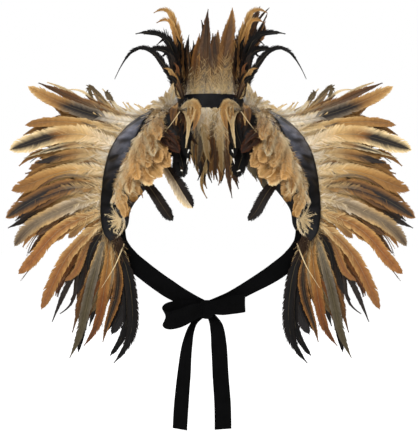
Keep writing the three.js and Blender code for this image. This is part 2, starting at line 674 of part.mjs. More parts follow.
addPair("wing_front", wingRow(WING_FRONT, frontSurface, 1, -28, ROUND), COLOURS.tan, 0.8);
addPair("wing_middle", wingRow(WING_MIDDLE, frontSurface, 1.88, -6), COLOURS.brown, 0.8);
addPair("wing_inner", wingRow(WING_INNER, frontSurface, 2.88, 20), COLOURS.cream, 0.8);
addPair("wing_lower", wingRow(WING_LOWER, frontSurface, 0.86, -60, CURLED), COLOURS.dark, 0.8);
addPair("wing_back_inner", wingRow(WING_BACK_INNER, backSurface, -2, 32), COLOURS.brown, 0.8);
addPair("wing_back", wingRow(WING_BACK, backSurface, -1, 54), COLOURS.tan, 0.8);

const lowShare = () => 0.1;
const chestLow = [...CHEST_LOW.slice(0, 2), CHEST_LONG, ...CHEST_LOW.slice(2)];
add("chest_low_left", chestRow(chestLow, lowShare), COLOURS.dark, 0.8);
add("chest_low_right", mirrored(chestRow(CHEST_LOW, lowShare)), COLOURS.dark, 0.8);
addPair("chest_middle", chestRow(CHEST_MIDDLE, () => 0.36), COLOURS.tan, 0.8);
const besideBand = (at) => 1 - column(FRONT_YOKE, "band", at) - 0.06;
addPair("chest_high", chestRow(CHEST_HIGH, besideBand, STRIP_LIFT - 0.7), COLOURS.tan, 0.8);
addPair("neck_curls", placedRow(NECK_CURLS, new THREE.Vector3(-0.2, -0.9, 0.3), CURLED), COLOURS.tan, 0.8);
addPair("shoulder_fluff", placedRow(SHOULDER, new THREE.Vector3(0, -0.95, 0.3), PLAIN), COLOURS.cream, 0.8);

const collarHeight = NECK_BAND_HEIGHT + 2.4;
add("collar_inner", neckRow(COLLAR_INNER, -CLOTH / 2 - 1.7, collarHeight, ROUND), COLOURS.brown, 0.8);
add("collar_outer", neckRow(COLLAR_OUTER, -CLOTH / 2 + 1.7, collarHeight, ROUND), COLOURS.tan, 0.8);
const toFront = new THREE.Vector3(0.3, -0.95, 0);
const collarSide = neckRow(COLLAR_SIDE, -CLOTH / 2, collarHeight, CURLED, toFront);
add("collar_right", collarSide, COLOURS.dark, 0.8);
add("collar_left", mirrored(collarSide), COLOURS.dark, 0.8);
add("nape_inner", neckRow(NAPE_INNER, -CLOTH / 2, -2.4, PLAIN), COLOURS.cream, 0.8);
add("nape_outer", neckRow(NAPE_OUTER, 1.6, 3, ROUND), COLOURS.tan, 0.8);

add("ribbon_strap_left", cutAtKnot(ribbon(STRAP_LEFT, 15)), COLOURS.ribbon, 0.9);
add("ribbon_strap_right", cutAtKnot(ribbon(STRAP_RIGHT, 15)), COLOURS.ribbon, 0.9);
add("bow_loop_left", cutAtKnot(ribbon(LOOP_LEFT, 24)), COLOURS.ribbon, 0.9);
add("bow_loop_right", cutAtKnot(ribbon(LOOP_RIGHT, 24)), COLOURS.ribbon, 0.9);
add("ribbon_tail_left", cutAtKnot(ribbon(TAIL_LEFT, 12)), COLOURS.ribbon, 0.9);
add("ribbon_tail_right", cutAtKnot(ribbon(TAIL_RIGHT, 12)), COLOURS.ribbon, 0.9);
add("bow_knot", knotBody(0), COLOURS.ribbon, 0.9);

export default group;
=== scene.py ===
import math

import bpy
import numpy as np
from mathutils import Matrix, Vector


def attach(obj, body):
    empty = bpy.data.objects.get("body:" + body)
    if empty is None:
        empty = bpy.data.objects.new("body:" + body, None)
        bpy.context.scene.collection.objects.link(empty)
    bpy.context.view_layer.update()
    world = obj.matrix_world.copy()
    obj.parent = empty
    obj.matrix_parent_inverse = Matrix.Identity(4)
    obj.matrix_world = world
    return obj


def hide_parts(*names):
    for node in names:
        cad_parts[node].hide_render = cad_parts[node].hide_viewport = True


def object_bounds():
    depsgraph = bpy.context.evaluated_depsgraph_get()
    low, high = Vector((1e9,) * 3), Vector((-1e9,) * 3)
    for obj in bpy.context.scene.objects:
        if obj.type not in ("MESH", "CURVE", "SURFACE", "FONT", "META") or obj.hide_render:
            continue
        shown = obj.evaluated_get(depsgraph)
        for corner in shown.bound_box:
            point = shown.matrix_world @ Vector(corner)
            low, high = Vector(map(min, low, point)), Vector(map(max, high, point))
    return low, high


# Feather cape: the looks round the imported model. The tables are in millimetres and the scene in metres.
# The front faces -Y, +Z is up and the left of the front view has negative X.
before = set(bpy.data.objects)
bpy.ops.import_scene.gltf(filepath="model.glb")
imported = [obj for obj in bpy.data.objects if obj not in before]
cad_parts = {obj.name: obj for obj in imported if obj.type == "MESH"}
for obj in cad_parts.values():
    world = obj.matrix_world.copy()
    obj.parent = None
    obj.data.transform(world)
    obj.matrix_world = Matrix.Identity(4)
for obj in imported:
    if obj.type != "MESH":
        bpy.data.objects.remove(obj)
cad_box = [[float(c) for c in corner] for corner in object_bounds()]

MM = 0.001
MIRROR = np.array([-1.0, 1.0, 1.0])


# Camera, at the level of the cape's middle
CAMERA_AT = (-0.0027, -4.5, -0.195)
CAMERA_LENS = 207.9
CAMERA_SENSOR = 36


def add_camera():
    data = bpy.data.cameras.new("front_camera")
    data.lens = CAMERA_LENS
    data.sensor_width = CAMERA_SENSOR
    camera = bpy.data.objects.new("front_camera", data)
    camera.location = CAMERA_AT
    camera.rotation_euler = (math.pi / 2, 0, 0)
    bpy.context.scene.collection.objects.link(camera)
    bpy.context.scene.camera = camera


add_camera()


# Small tools
def unit(v):
    return v / np.maximum(np.linalg.norm(v, axis=-1, keepdims=True), 1e-9)


def linear(colour):
    c = np.array(colour, float) / 255
    return np.where(c <= 0.04045, c / 12.92, ((c + 0.055) / 1.055) ** 2.4)


def through(points, places):
    """Points on a centripetal curve through a few points, at places from 0 to the last point's number."""
    points = np.array(points, float)
    last = len(points) - 1
    found = []
    for place in places:
        i = min(max(int(place), 0), last - 1)
        w = place - i
        p1, p2 = points[i], points[i + 1]
        p0 = points[i - 1] if i > 0 else 2 * p1 - p2
        p3 = points[i + 2] if i + 2 <= last else 2 * p2 - p1
        d0, d1, d2 = (np.sum((b - a) ** 2) ** 0.25 for a, b in ((p0, p1), (p1, p2), (p2, p3)))
        d1 = d1 if d1 > 1e-4 else 1.0
        d0, d2 = (d if d > 1e-4 else d1 for d in (d0, d2))
        t1 = ((p1 - p0) / d0 - (p2 - p0) / (d0 + d1) + (p2 - p1) / d1) * d1
        t2 = ((p2 - p1) / d1 - (p3 - p1) / (d1 + d2) + (p3 - p2) / d2) * d1
        found.append(p1 + t1 * w + (3 * (p2 - p1) - 2 * t1 - t2) * w**2 + (2 * (p1 - p2) + t1 + t2) * w**3)
    return np.array(found)


def track(samples, place, per_step):
    """Reads a densely sampled curve at any places."""
    x = np.arange(len(samples)) / per_step
    return np.stack([np.interp(place, x, samples[:, k]) for k in range(3)], axis=-1)


# Neck and yokes, as in the pattern: walls, and how far the band and the strips of feathers lie over the cloth
CLOTH = 1.6
SATIN = 1.2
BAND_LIFT = 1.05
STRIP_LIFT = 1.85
NECK_HALF_WIDTH = 60
NECK_HALF_DEPTH = 54
NECK_BAND_HEIGHT = 27
NECK_DROP = 8
NECK_END = 163
# How far the wings' first row, and each row after it, stands off the yoke's edge: on the shoulder and at the chest
FIRST_LAYER = (1.9, 3.8)
NEXT_LAYER = (2.65, 5.4)


def neck_point(angle, grow, height):
    a = np.radians(angle)
    x = (NECK_HALF_WIDTH + grow) * np.sin(a)
    y = (NECK_HALF_DEPTH + grow) * np.cos(a)
    return np.stack([x, y, 2 - NECK_DROP * (1 - np.cos(a)) + height + 0 * a], axis=-1)


def neck_outward(angle):
    return unit(neck_point(angle, 1, 0) - neck_point(angle, 0, 0))


def neck_edge(angle, grow):
    return tuple(neck_point(np.array(angle), grow, 3))


# Yoke sections: outer edge, inner edge, bulge, share of the satin band
FRONT_YOKE = (
    ((-66, 3, 14), neck_edge(-103, 2.4), 0, 0.2),
    ((-107, 2, -6), neck_edge(-122, 2.0), 6, 0.26),
    ((-139.5, 0, -26), neck_edge(-140, 2.0), 12, 0.33),
    ((-161, -8, -48), neck_edge(-158, 2.4), 16, 0.3),
    ((-178.6, -26, -78), (-45, -84, -56), 15, 0.32),
    ((-187.6, -50, -114), (-74, -94, -96), 11, 0.31),
    ((-192, -68, -153), (-118, -98, -134), 7, 0.32),
    ((-193, -79, -192), (-149, -96, -180), 4, 0.58),
    ((-188, -85, -223), (-152, -93, -212), 2, 0.62),
    ((-177, -87, -238), (-166, -90, -235), 0, 0.6),
)
BACK_YOKE = (
    ((-66, 6.3, 14), neck_edge(-84, 0.9), 0, 0.2),
    ((-107, 18, -6), neck_edge(-73, 1.1), 4, 0.3),
    ((-139.5, 21, -27), neck_edge(-63, 1.2), 10, 0.33),
    ((-161, 30, -49), neck_edge(-54, 1.4), 14, 0.3),
    ((-178, 46, -80), (-58, 66, -42), 14, 0.32),
    ((-186, 68, -116), (-82, 86, -90), 11, 0.32),
    ((-190, 82, -154), (-114, 97, -138), 7, 0.36),
    ((-191, 92, -192), (-146, 100, -182), 4, 0.56),
    ((-186, 97, -221), (-152, 101, -212), 2, 0.62),
    ((-176, 99, -236), (-166, 101, -234), 0, 0.6),
)
YOKE_LAST = 9
CURVE_STEPS = 40


def yoke_surface(table, facing):
    facing = np.array(facing)
    places = np.linspace(0, YOKE_LAST, YOKE_LAST * CURVE_STEPS + 1)
    outer = through([row[0] for row in table], places)
    inner = through([row[1] for row in table], places)
    bulges = [row[2] for row in table]

    def flat(row, share):
        a = track(inner, row, CURVE_STEPS)
        b = track(outer, row, CURVE_STEPS)
        return a + (b - a) * np.asarray(share)[..., None]

    def flat_normal(row):
        low = np.maximum(row - 0.05, 0)
        high = np.minimum(row + 0.05, YOKE_LAST)
        share = np.zeros_like(row) + 0.6
        ends = flat(row, share * 0 + 1) - flat(row, share * 0)
        normal = unit(np.cross(flat(high, share) - flat(low, share), ends))
        return normal * np.where(normal @ facing < 0, -1, 1)[..., None]

    def point(row, share):
        rise = np.interp(row, np.arange(len(bulges)), bulges) * 4 * share * (1 - share)
        return flat(row, share) + flat_normal(row) * rise[..., None]

    def cell(row, share):
        row, share = np.broadcast_arrays(np.asarray(row, float), np.asarray(share, float))
        across = point(row, np.minimum(share + 0.04, 1)) - point(row, np.maximum(share - 0.04, 0))
        along = point(np.minimum(row + 0.04, YOKE_LAST), share) - point(np.maximum(row - 0.04, 0), share)
        normal = unit(np.cross(along, across))
        sign = np.where(np.sum(normal * flat_normal(row), axis=-1) < 0, -1, 1)
        return point(row, share), normal * sign[..., None]

    return cell


front_surface = yoke_surface(FRONT_YOKE, (-0.35, -0.7, 0.6))
back_surface = yoke_surface(BACK_YOKE, (-0.35, 0.7, 0.6))


def band_share(table, row):
    return np.interp(row, np.arange(len(table)), [r[3] for r in table])


def full_band(table, row):
    """The band as it shows: a little wider than its seam, and over the whole yoke at the lower end."""
    return np.clip(band_share(table, row) * np.interp(row, (0, 5.5, 7, 9), (1.12, 1.15, 1.62, 1.6)), 0, 0.97)


# Colours of the feathers
FLUFF = (232, 220, 198)
CREAM = (208, 185, 142)
SAND = (184, 152, 102)
GOLD = (160, 118, 64)
DEEP = (122, 84, 44)
BROWN = (86, 58, 34)
UMBER = (54, 39, 28)
DARK = (29, 24, 22)
BLACK = (12, 10, 10)
PALE_GREY = (178, 165, 146)
GREY = (112, 98, 80)
OLIVE = (80, 68, 46)
RUST = (104, 58, 28)
ORANGE = (122, 76, 38)
# Rust brown darkened with painted shade, for the feathers inside the neck curl's hollow
SHADED_RUST = (58, 27, 12)
HONEY = (192, 151, 98)

# Colouring along a feather: place from the root, colour at the shaft, colour at the edge
COLOURINGS = {
    "gold": ((0, CREAM, FLUFF), (0.24, SAND, CREAM), (0.46, GOLD, SAND), (0.78, DEEP, GOLD), (1, DEEP, DEEP)),
    "sand": ((0, FLUFF, FLUFF), (0.3, SAND, CREAM), (0.65, SAND, CREAM), (1, GOLD, SAND)),
    "cream": ((0, FLUFF, FLUFF), (0.5, CREAM, FLUFF), (1, SAND, CREAM)),
    "dark_tip": ((0, FLUFF, FLUFF), (0.26, SAND, CREAM), (0.5, DEEP, GOLD), (0.68, UMBER, GOLD), (0.78, DARK, UMBER),
                 (1, DARK, DARK)),
    "cream_edge": ((0, FLUFF, FLUFF), (0.3, SAND, CREAM), (0.5, DEEP, SAND), (0.6, DARK, CREAM), (1, DARK, CREAM)),
    "dark_middle": ((0, FLUFF, FLUFF), (0.24, PALE_GREY, CREAM), (0.34, DARK, GREY), (0.6, DARK, GREY),
                    (0.72, DEEP, GOLD), (1, GOLD, SAND)),
    "grey": ((0, CREAM, FLUFF), (0.3, GREY, PALE_GREY), (0.6, GREY, SAND), (1, UMBER, GREY)),
    "orange": ((0, SAND, CREAM), (0.2, DEEP, SAND), (0.6, ORANGE, GOLD), (1, ORANGE, DEEP)),
    "rust": ((0, DEEP, SAND), (0.3, DEEP, GOLD), (0.6, RUST, DEEP), (1, UMBER, RUST)),
    "brown": ((0, SAND, CREAM), (0.3, GREY, SAND), (0.55, BROWN, DEEP), (1, UMBER, BROWN)),
    "olive": ((0, GREY, SAND), (0.4, OLIVE, GREY), (1, OLIVE, OLIVE)),
    "dark": ((0, GREY, PALE_GREY), (0.3, UMBER, BROWN), (0.6, DARK, UMBER), (1, DARK, DARK)),
    "striped": ((0, SAND, CREAM), (0.2, UMBER, GOLD), (0.45, DARK, DEEP), (1, DARK, DEEP)),
    "black": ((0, UMBER, BROWN), (0.2, BLACK, DARK), (1, BLACK, BLACK)),
    "fan": ((0, PALE_GREY, CREAM), (0.18, GREY, SAND), (0.38, BROWN, GREY), (0.7, UMBER, BROWN), (1, UMBER, BROWN)),
    "fan_gold": ((0, CREAM, CREAM), (0.2, GREY, SAND), (0.42, BROWN, DEEP), (0.75, BROWN, DEEP), (1, DEEP, GOLD)),
    "chest_gold": ((0, CREAM, FLUFF), (0.35, HONEY, CREAM), (0.75, GOLD, HONEY), (1, GOLD, HONEY)),
    "chest_sand": ((0, CREAM, FLUFF), (0.45, HONEY, CREAM), (1, HONEY, CREAM)),
    "hook": ((0, DARK, DARK), (0.4, BROWN, UMBER), (0.62, DEEP, GOLD), (0.82, GOLD, SAND), (1, BROWN, DEEP)),
    "pale_vane": ((0, GREY, SAND), (0.5, GREY, PALE_GREY), (1, PALE_GREY, CREAM)),
    # Rust brown with the painted shade of the neck curl's hollow
    "hollow": ((0, SHADED_RUST, UMBER), (0.5, SHADED_RUST, BROWN), (1, DARK, SHADED_RUST)),
    "all_cream": ((0, SAND, CREAM), (0.6, SAND, CREAM), (1, CREAM, CREAM)),
    "all_dark": ((0, UMBER, DARK), (0.25, DARK, DARK), (1, DARK, BLACK)),
}
MIXES = {
    "upper": ("gold", "sand", "gold", "cream", "brown"),
    "middle": ("gold", "gold", "sand", "brown", "grey", "gold"),
    "lower": ("gold", "brown", "gold", "rust", "brown", "grey"),
    "hem": ("rust", "brown", "black", "dark", "olive", "striped", "dark"),
    "chest": ("chest_gold", "chest_sand", "chest_gold", "gold"),
    "low": ("dark", "black", "brown"),
    "collar": ("fan", "fan", "fan_gold", "fan"),
    # The collar's sides: dark feathers, and on its walls partly painted shade
    "side": ("dark", "brown", "black", "black"),
    "nape": ("grey", "sand", "brown", "gold"),
    "pale": ("cream", "cream", "sand", "cream"),
    "hollow": ("hollow", "dark", "brown"),
}

# Outlines: half width, as a share of the greatest, at places along the feather
OUTLINES = {
    "plain": ((0, 0.3), (0.1, 0.7), (0.3, 0.95), (0.5, 1), (0.7, 0.86), (0.85, 0.56), (0.95, 0.24), (1, 0)),
    "round": ((0, 0.3), (0.12, 0.7), (0.32, 0.92), (0.6, 1), (0.8, 0.95), (0.9, 0.78), (0.96, 0.52), (1, 0)),
    "downy": ((0, 0.8), (0.2, 1), (0.5, 0.95), (0.72, 0.78), (0.88, 0.44), (1, 0)),
    "hackle": ((0, 0.3), (0.15, 0.9), (0.3, 1), (0.55, 0.7), (0.8, 0.34), (1, 0)),
    "curled": ((0, 0.2), (0.14, 0.6), (0.36, 0.95), (0.6, 1), (0.8, 0.74), (0.92, 0.4), (1, 0.03)),
}
# Lean of the barbs from the shaft, at the root and at the tip, in degrees
LEANS = {"plain": (48, 26), "round": (52, 40), "downy": (46, 26), "hackle": (40, 14), "curled": (46, 22)}
LEFT_BARB, RIGHT_BARB, DOWN_STRAND = 0, 1, 2
FIELDS = ("at", "aim", "facing", "size", "shape", "tint", "edge", "along", "sweep", "side", "cell")
# A feather's line: its points, its sway as a share of its length, and the points on its shaft
LINE_POINTS = 33
WAVE = 0.03
SHAFT_POINTS = 9
# Share of the barbs that start a new clump, and halvings in the search for where a barb meets the outline
NEW_CLUMP = 0.24
HALVINGS = 12
STANDING_BARBS = 5


class Bunch:
    """The feathers of one piece, kept as points for the barbs and tubes for the shafts."""

    def __init__(self, seed, spacing=2.6):
        self.random = np.random.default_rng(seed)
        self.spacing = spacing
        self.parts = {field: [] for field in FIELDS}
        self.shafts = []
        self.count = 0

    def put(self, **values):
        rows = len(values["at"])
        for field in FIELDS:
            value = np.asarray(values[field], float)
            if value.ndim == 0:
                value = np.full(rows, float(value))
            self.parts[field].append(value)

    def feather(self, root, via, tip, width, face, colouring, outline="plain", fluff=0.24, shaft=True, ragged=1.0,
                fine=1.0):
        """A feather on a curve from root to tip: its barbs, the down at its root, some loose barbs and its shaft."""
        rng = self.random
        root, via, tip = (np.array(p, float) for p in (root, via, tip))
        face = unit(np.array(face, float))
        cell = self.count
        self.count += 1
        t = np.linspace(0, 1, LINE_POINTS)[:, None]
        line = (1 - t) ** 2 * root + 2 * t * (1 - t) * via + t**2 * tip
        sway = rng.normal(0, WAVE * (0.5 + 0.5 * ragged)) * np.linalg.norm(tip - root)
        line += unit(np.cross(tip - root, face)) * sway * t * np.sin(2 * math.pi * t**1.3)
        run = np.concatenate([[0], np.cumsum(np.linalg.norm(np.diff(line, axis=0), axis=1))])
        length = run[-1]
        headings = unit(np.gradient(line, run, axis=0))
        twist = rng.normal(0, 0.2)

        def on_line(values, u):
            return np.stack([np.interp(u * length, run, values[:, k]) for k in range(3)], axis=-1)

        def station(u):
            at = on_line(line, u)
            along = unit(on_line(headings, u))
            side = unit(np.cross(along, face))
            up = np.cross(side, along)
            turn = (twist * u)[:, None]
            return at, along, side * np.cos(turn) + up * np.sin(turn), up * np.cos(turn) - side * np.sin(turn)

        shade = 1 + rng.normal(0, 0.09)
        warmth = 1 + rng.normal(0, 0.035) * np.array([1, 0.2, -1.2])
        pair = colouring if isinstance(colouring, tuple) else (colouring, colouring)

        def colour(u, column, vane=1):
            stops = COLOURINGS[pair[0] if vane < 0 else pair[1]]
            keys = np.array([linear(s[column]) for s in stops])
            found = np.stack([np.interp(u, [s[0] for s in stops], keys[:, k]) for k in range(3)], axis=-1)
            return np.clip(found * shade * warmth, 0.004, 0.95)

        shape = np.array(OUTLINES[outline])
        half = width / 2
        spacing = self.spacing * fine
        count = max(int(length / spacing), 9)
        lean_root, lean_tip = LEANS[outline]
        for vane in (-1, 1):
            u = (np.arange(count) + 0.4 + rng.uniform(-0.15, 0.15, count)) / count * 0.985
            group = np.cumsum(rng.random(count) < NEW_CLUMP)
            loose = 1 + 3.5 * np.clip(1 - u / (fluff + 0.16), 0, 1)

            def clumped(amount, alone=0):
                found = rng.normal(0, amount, count + 1)[group]
                return (found + rng.normal(0, alone, count) if alone else found) * loose

            spread = clumped(0.045 * ragged, 0.012)
            reach = 1 + clumped(0.04 * ragged, 0.02)
            drift = clumped(0.012)
            if rng.random() < 0.28 * ragged:
                gap = rng.uniform(0.45, 0.85)
                spread = spread + np.where(u > gap, -0.08, 0.06) * np.exp(-np.abs(u - gap) / 0.08)
            lean = np.clip(np.radians(lean_root + (lean_tip - lean_root) * u) + spread, 0.16, 1.3)
            least, most = np.zeros(count), np.full(count, half)
            for _ in range(HALVINGS):
                w = (least + most) / 2
                inside = w < half * np.interp(u + w / np.tan(lean) / length, shape[:, 0], shape[:, 1])
                least, most = np.where(inside, w, least), np.where(inside, most, w)
            w = np.maximum(w * reach, 0.35)
            at, along, side, up = station(u)
            aim = np.sin(lean)[:, None] * side * vane + np.cos(lean)[:, None] * along
            lift = (0.2 + clumped(0.03))[:, None]
            facing = unit(up - side * vane * lift)
            aim = unit(aim + up * lift)
            barb = w / np.sin(lean)
            sweep = w / np.tan(lean) / length
            thick = spacing * np.sin(lean) * 1.9 + 0.35
            thin = np.where(u < fluff, 0.45, 1)
            size = np.stack([barb, thick * thin, barb], axis=-1)
            self.put(
                at=at, aim=aim, facing=facing, size=size, shape=LEFT_BARB if vane > 0 else RIGHT_BARB,
                tint=colour(u + drift, 1, vane), edge=colour(u + drift + sweep, 2, vane), along=u,
                sweep=sweep, side=vane, cell=cell,
            )
        self.down(station, colour, half, fluff, int(8 + 70 * fluff * min(width / 20, 1.3)), cell)
        self.wisps(station, colour, half, shape, cell)
        if shaft:
            u = np.linspace(0, 0.96, SHAFT_POINTS)
            at, along, side, up = station(u)
            pale = np.clip(colour(u, 1).mean(axis=-1, keepdims=True) * 3 + 0.15, 0, 1)
            tone = 0.55 * colour(u, 1) + 0.45 * linear(CREAM) * pale
            self.shafts.append((at + up * 0.25, side, up, 0.2 + (0.35 + width / 60) * (1 - u) ** 0.8, tone, u, cell))

    def down(self, station, colour, half, fluff, count, cell):
        """Soft strands round the root."""
        rng = self.random
        u = rng.uniform(0.0, fluff + 0.08, count)
        at, along, side, up = station(u)
        sign = np.where(rng.random(count) < 0.5, -1, 1)[:, None]
        aim = unit(side * sign * rng.uniform(0.25, 1, (count, 1)) + up * rng.normal(0, 0.32, (count, 1))
                   + along * rng.uniform(0.3, 1.2, (count, 1)))
        long = half * rng.uniform(0.7, 1.7, count)
        size = np.stack([long, rng.uniform(0.5, 1.0, count), long * rng.uniform(-1, 1, count)], axis=-1)
        tone = np.clip(colour(u * 0.6, 2) * rng.uniform(0.82, 1.12, (count, 1)), 0, 0.95)
        self.put(at=at, aim=aim, facing=up, size=size, shape=DOWN_STRAND, tint=tone, edge=tone, along=u,
                 sweep=0, side=sign[:, 0], cell=cell)

    def wisps(self, station, colour, half, shape, cell):
        """A few single barbs that stand off the vane."""
        rng = self.random
        count = STANDING_BARBS
        u = rng.uniform(0.15, 0.8, count)
        at, along, side, up = station(u)
        sign = np.where(rng.random(count) < 0.5, -1, 1)[:, None]
        lean = np.radians(rng.uniform(24, 55, (count, 1)))
        aim = unit(side * sign * np.sin(lean) + along * np.cos(lean) + up * rng.normal(0.1, 0.1, (count, 1)))
        w = half * np.interp(u + 0.1, shape[:, 0], shape[:, 1])
        long = w / np.sin(lean[:, 0]) * rng.uniform(0.9, 1.2, count)
        size = np.stack([long, np.full(count, 0.6), long * 0.6], axis=-1)
        self.put(at=at, aim=aim, facing=up, size=size, shape=DOWN_STRAND, tint=colour(u, 2), edge=colour(u, 2),
                 along=u, sweep=0.05, side=sign[:, 0], cell=cell)

    def patch(self, at, aim, facing, length, colour):
        """Loose down rooted at given points, all in one field of the map; one facing, length or colour does for all."""
        rng = self.random
        count = len(at)
        facing, colour = (np.broadcast_to(value, (count, 3)) for value in (facing, colour))
        length = np.broadcast_to(length, count)
        cell = self.count
        self.count += 1
        size = np.stack([length, rng.uniform(0.5, 0.9, count), length * rng.uniform(-1, 1, count)], axis=-1)
        self.put(at=at, aim=unit(aim), facing=facing, size=size, shape=DOWN_STRAND, tint=colour, edge=colour,
                 along=rng.random(count), sweep=0, side=rng.choice([-1, 1], count), cell=cell)

    def quill(self, points, radius, colour):
        """A bare shaft along a few points."""
        points = np.array(points, float)
        at = through(points, np.linspace(0, len(points) - 1, SHAFT_POINTS))
        along = unit(np.gradient(at, axis=0))
        side = unit(np.cross(along, (0.1, -1, 0.2)))
        up = np.cross(side, along)
        u = np.linspace(0, 1, SHAFT_POINTS)
        tone = np.tile(linear(colour), (SHAFT_POINTS, 1))
        self.shafts.append((at, side, up, radius * np.clip(1.15 - u, 0.25, 1), tone, u, self.count))
        self.count += 1

    def gathered(self, mirror=False):
        """All points as arrays, and turned into their mirror image where asked."""
        data = {field: np.concatenate(self.parts[field]) for field in FIELDS}
        shafts = self.shafts
        if mirror:
            for field in ("at", "aim", "facing"):
                data[field] = data[field] * MIRROR
            data["side"] = -data["side"]
            data["shape"] = np.where(data["shape"] == DOWN_STRAND, DOWN_STRAND, 1 - data["shape"])
            shafts = [(at * MIRROR, -side * MIRROR, up * MIRROR, *rest) for at, side, up, *rest in shafts]
        return data, shafts


# Meshes from arrays
def plain_mesh(name, corners, faces, **attributes):
    mesh = bpy.data.meshes.new(name)
    mesh.from_pydata(np.asarray(corners, float).tolist(), [], [tuple(int(i) for i in f) for f in faces])
    for key, values in attributes.items():
        add_attribute(mesh, key, values)
    return mesh


def add_attribute(mesh, key, values):
    values = np.asarray(values, float)
    if values.ndim == 1:
        mesh.attributes.new(key, "FLOAT", "POINT").data.foreach_set("value", values)
    elif key in ("tint", "edge"):
        rgba = np.concatenate([values, np.ones((len(values), 1))], axis=1)
        mesh.attributes.new(key, "FLOAT_COLOR", "POINT").data.foreach_set("color", rgba.ravel())
    else:
        mesh.attributes.new(key, "FLOAT_VECTOR", "POINT").data.foreach_set("vector", values.ravel())


def link(name, mesh):
    obj = bpy.data.objects.new(name, mesh)
    bpy.context.scene.collection.objects.link(obj)
    return obj


def strip_object(name, reach, half, bend, lift):
    """A strip of unit length from its half widths, its bend and its height, with a blunt or a pointed end."""
    corners, along = [], []
    for q, h in zip(reach, half):
        for s in ((-1, 1) if h else (0,)):
            corners.append((q, bend(q) + s * h, lift(q)))
            along.append(q)
    end = (2, 4, 5, 3) if half[-1] else (2, 4, 3)
    return link(name, plain_mesh(name, corners, [(0, 2, 3, 1), end], reach=along))


def barb_object(name, bend):
    """A clump of barbs, which bends to one side and droops."""
    return strip_object(name, (0, 0.52, 1), (0.5, 0.48, 0.13), lambda q: bend * q * q,
                        lambda q: 0.04 * math.sin(math.pi * q) - 0.07 * q * q)


def strand_object(name):
    """A strand of down, which curls up."""
    return strip_object(name, (0, 0.5, 1), (0.5, 0.35, 0), lambda q: 2.2 * math.sin(2.4 * q), lambda q: 0.3 * q * q)


# The three corners of a shaft's ring, in radians
SHAFT_CORNERS = (0.5, 2.6, 4.7)


def shaft_mesh(name, shafts):
    corners, faces, tint, along, cell = [], [], [], [], []
    for at, side, up, radius, tone, u, number in shafts:
        first = len(corners)
        for k in range(len(u)):
            for a in SHAFT_CORNERS:
                corners.append((at[k] + (side[k] * math.cos(a) + up[k] * math.sin(a)) * radius[k]) * MM)
                tint.append(tone[k])
                along.append(u[k])
                cell.append(number)
        for k in range(len(u) - 1):
            for j in range(3):
                a, b = first + 3 * k + j, first + 3 * k + (j + 1) % 3
                faces.append((a, a + 3, b + 3, b))
        faces.append((first, first + 1, first + 2))
        end = len(corners)
        faces.append((end - 1, end - 2, end - 3))
    none = np.zeros(len(corners))
    return plain_mesh(name, corners, faces, tint=tint, edge=tint, along=along, cell=cell, reach=none, side=none,
                      sweep=none)


# Node trees
def new_group(name, kind, inputs, outputs):
    """A node group with its sockets: name, kind and, where it needs one, value."""
    tree = bpy.data.node_groups.new(name, kind)
    for way, rows in (("INPUT", inputs), ("OUTPUT", outputs)):
        for label, socket_kind, *values in rows:
            socket = tree.interface.new_socket(label, in_out=way, socket_type="NodeSocket" + socket_kind)
            for value in values:
                socket.default_value = value
    return tree, tree.nodes.new("NodeGroupInput").outputs, tree.nodes.new("NodeGroupOutput").inputs


def feed(tree, socket, value):
    """Gives a socket a value, another node's output, or a node, which stands for its first output."""
    if isinstance(value, bpy.types.Node):
        value = value.outputs[0]
    if isinstance(value, bpy.types.NodeSocket):
        tree.links.new(value, socket)
    else:
        socket.default_value = value


def add_node(tree, kind, inputs=None, **settings):
    node = tree.nodes.new(kind)
    for key, value in settings.items():
        setattr(node, key, value)
    for key, value in (inputs or {}).items():
        feed(tree, node.inputs[key], value)
    return node


# Geometry Nodes: barbs on shafts
CLUMPS = ("Left Barb", "Right Barb", "Down Strand")
LENGTH_VARIATION = 0.05
LENGTH_SEED = 4


def barb_tree():
    tree, given, result = new_group("Barbs on shafts", "GeometryNodeTree", (
        ("Geometry", "Geometry"), *((clump, "Object") for clump in CLUMPS), ("Shafts", "Object"),
        ("Length Variation", "Float", LENGTH_VARIATION), ("Seed", "Int", LENGTH_SEED), ("Finish", "Material"),
    ), (("Geometry", "Geometry"),))

    def named(key, kind):
        return add_node(tree, "GeometryNodeInputNamedAttribute", {"Name": key}, data_type=kind)

    turn = add_node(tree, "FunctionNodeAxesToRotation", {
        "Primary Axis": named("aim", "FLOAT_VECTOR"), "Secondary Axis": named("facing", "FLOAT_VECTOR"),
    }, primary_axis="X", secondary_axis="Z")
    least, most = (add_node(tree, "ShaderNodeMath", {0: 1, 1: given["Length Variation"]}, operation=operation)
                   for operation in ("SUBTRACT", "ADD"))
    vary = add_node(tree, "FunctionNodeRandomValue", {2: least, 3: most, "Seed": given["Seed"]}, data_type="FLOAT")
    grow = add_node(tree, "ShaderNodeCombineXYZ", {0: vary.outputs[1], 1: 1, 2: 1})
    scale = add_node(tree, "ShaderNodeVectorMath", {0: named("size", "FLOAT_VECTOR"), 1: grow}, operation="MULTIPLY")
    joined = add_node(tree, "GeometryNodeJoinGeometry")
    for number, clump in enumerate(CLUMPS):
        same = add_node(tree, "FunctionNodeCompare", {0: named("shape", "FLOAT"), 1: number, "Epsilon": 0.1},
                        data_type="FLOAT", operation="EQUAL")
        info = add_node(tree, "GeometryNodeObjectInfo", {"Object": given[clump]})
        feed(tree, joined.inputs[0], add_node(tree, "GeometryNodeInstanceOnPoints", {
            "Points": given["Geometry"], "Selection": same, "Instance": info.outputs["Geometry"], "Rotation": turn,
            "Scale": scale,
        }))
    shafts = add_node(tree, "GeometryNodeObjectInfo", {"Object": given["Shafts"]})
    feed(tree, joined.inputs[0], shafts.outputs["Geometry"])
    real = add_node(tree, "GeometryNodeRealizeInstances", {0: joined})
    feed(tree, result["Geometry"], add_node(tree, "GeometryNodeSetMaterial", {
        "Geometry": real, "Material": given["Finish"]}))
    return tree


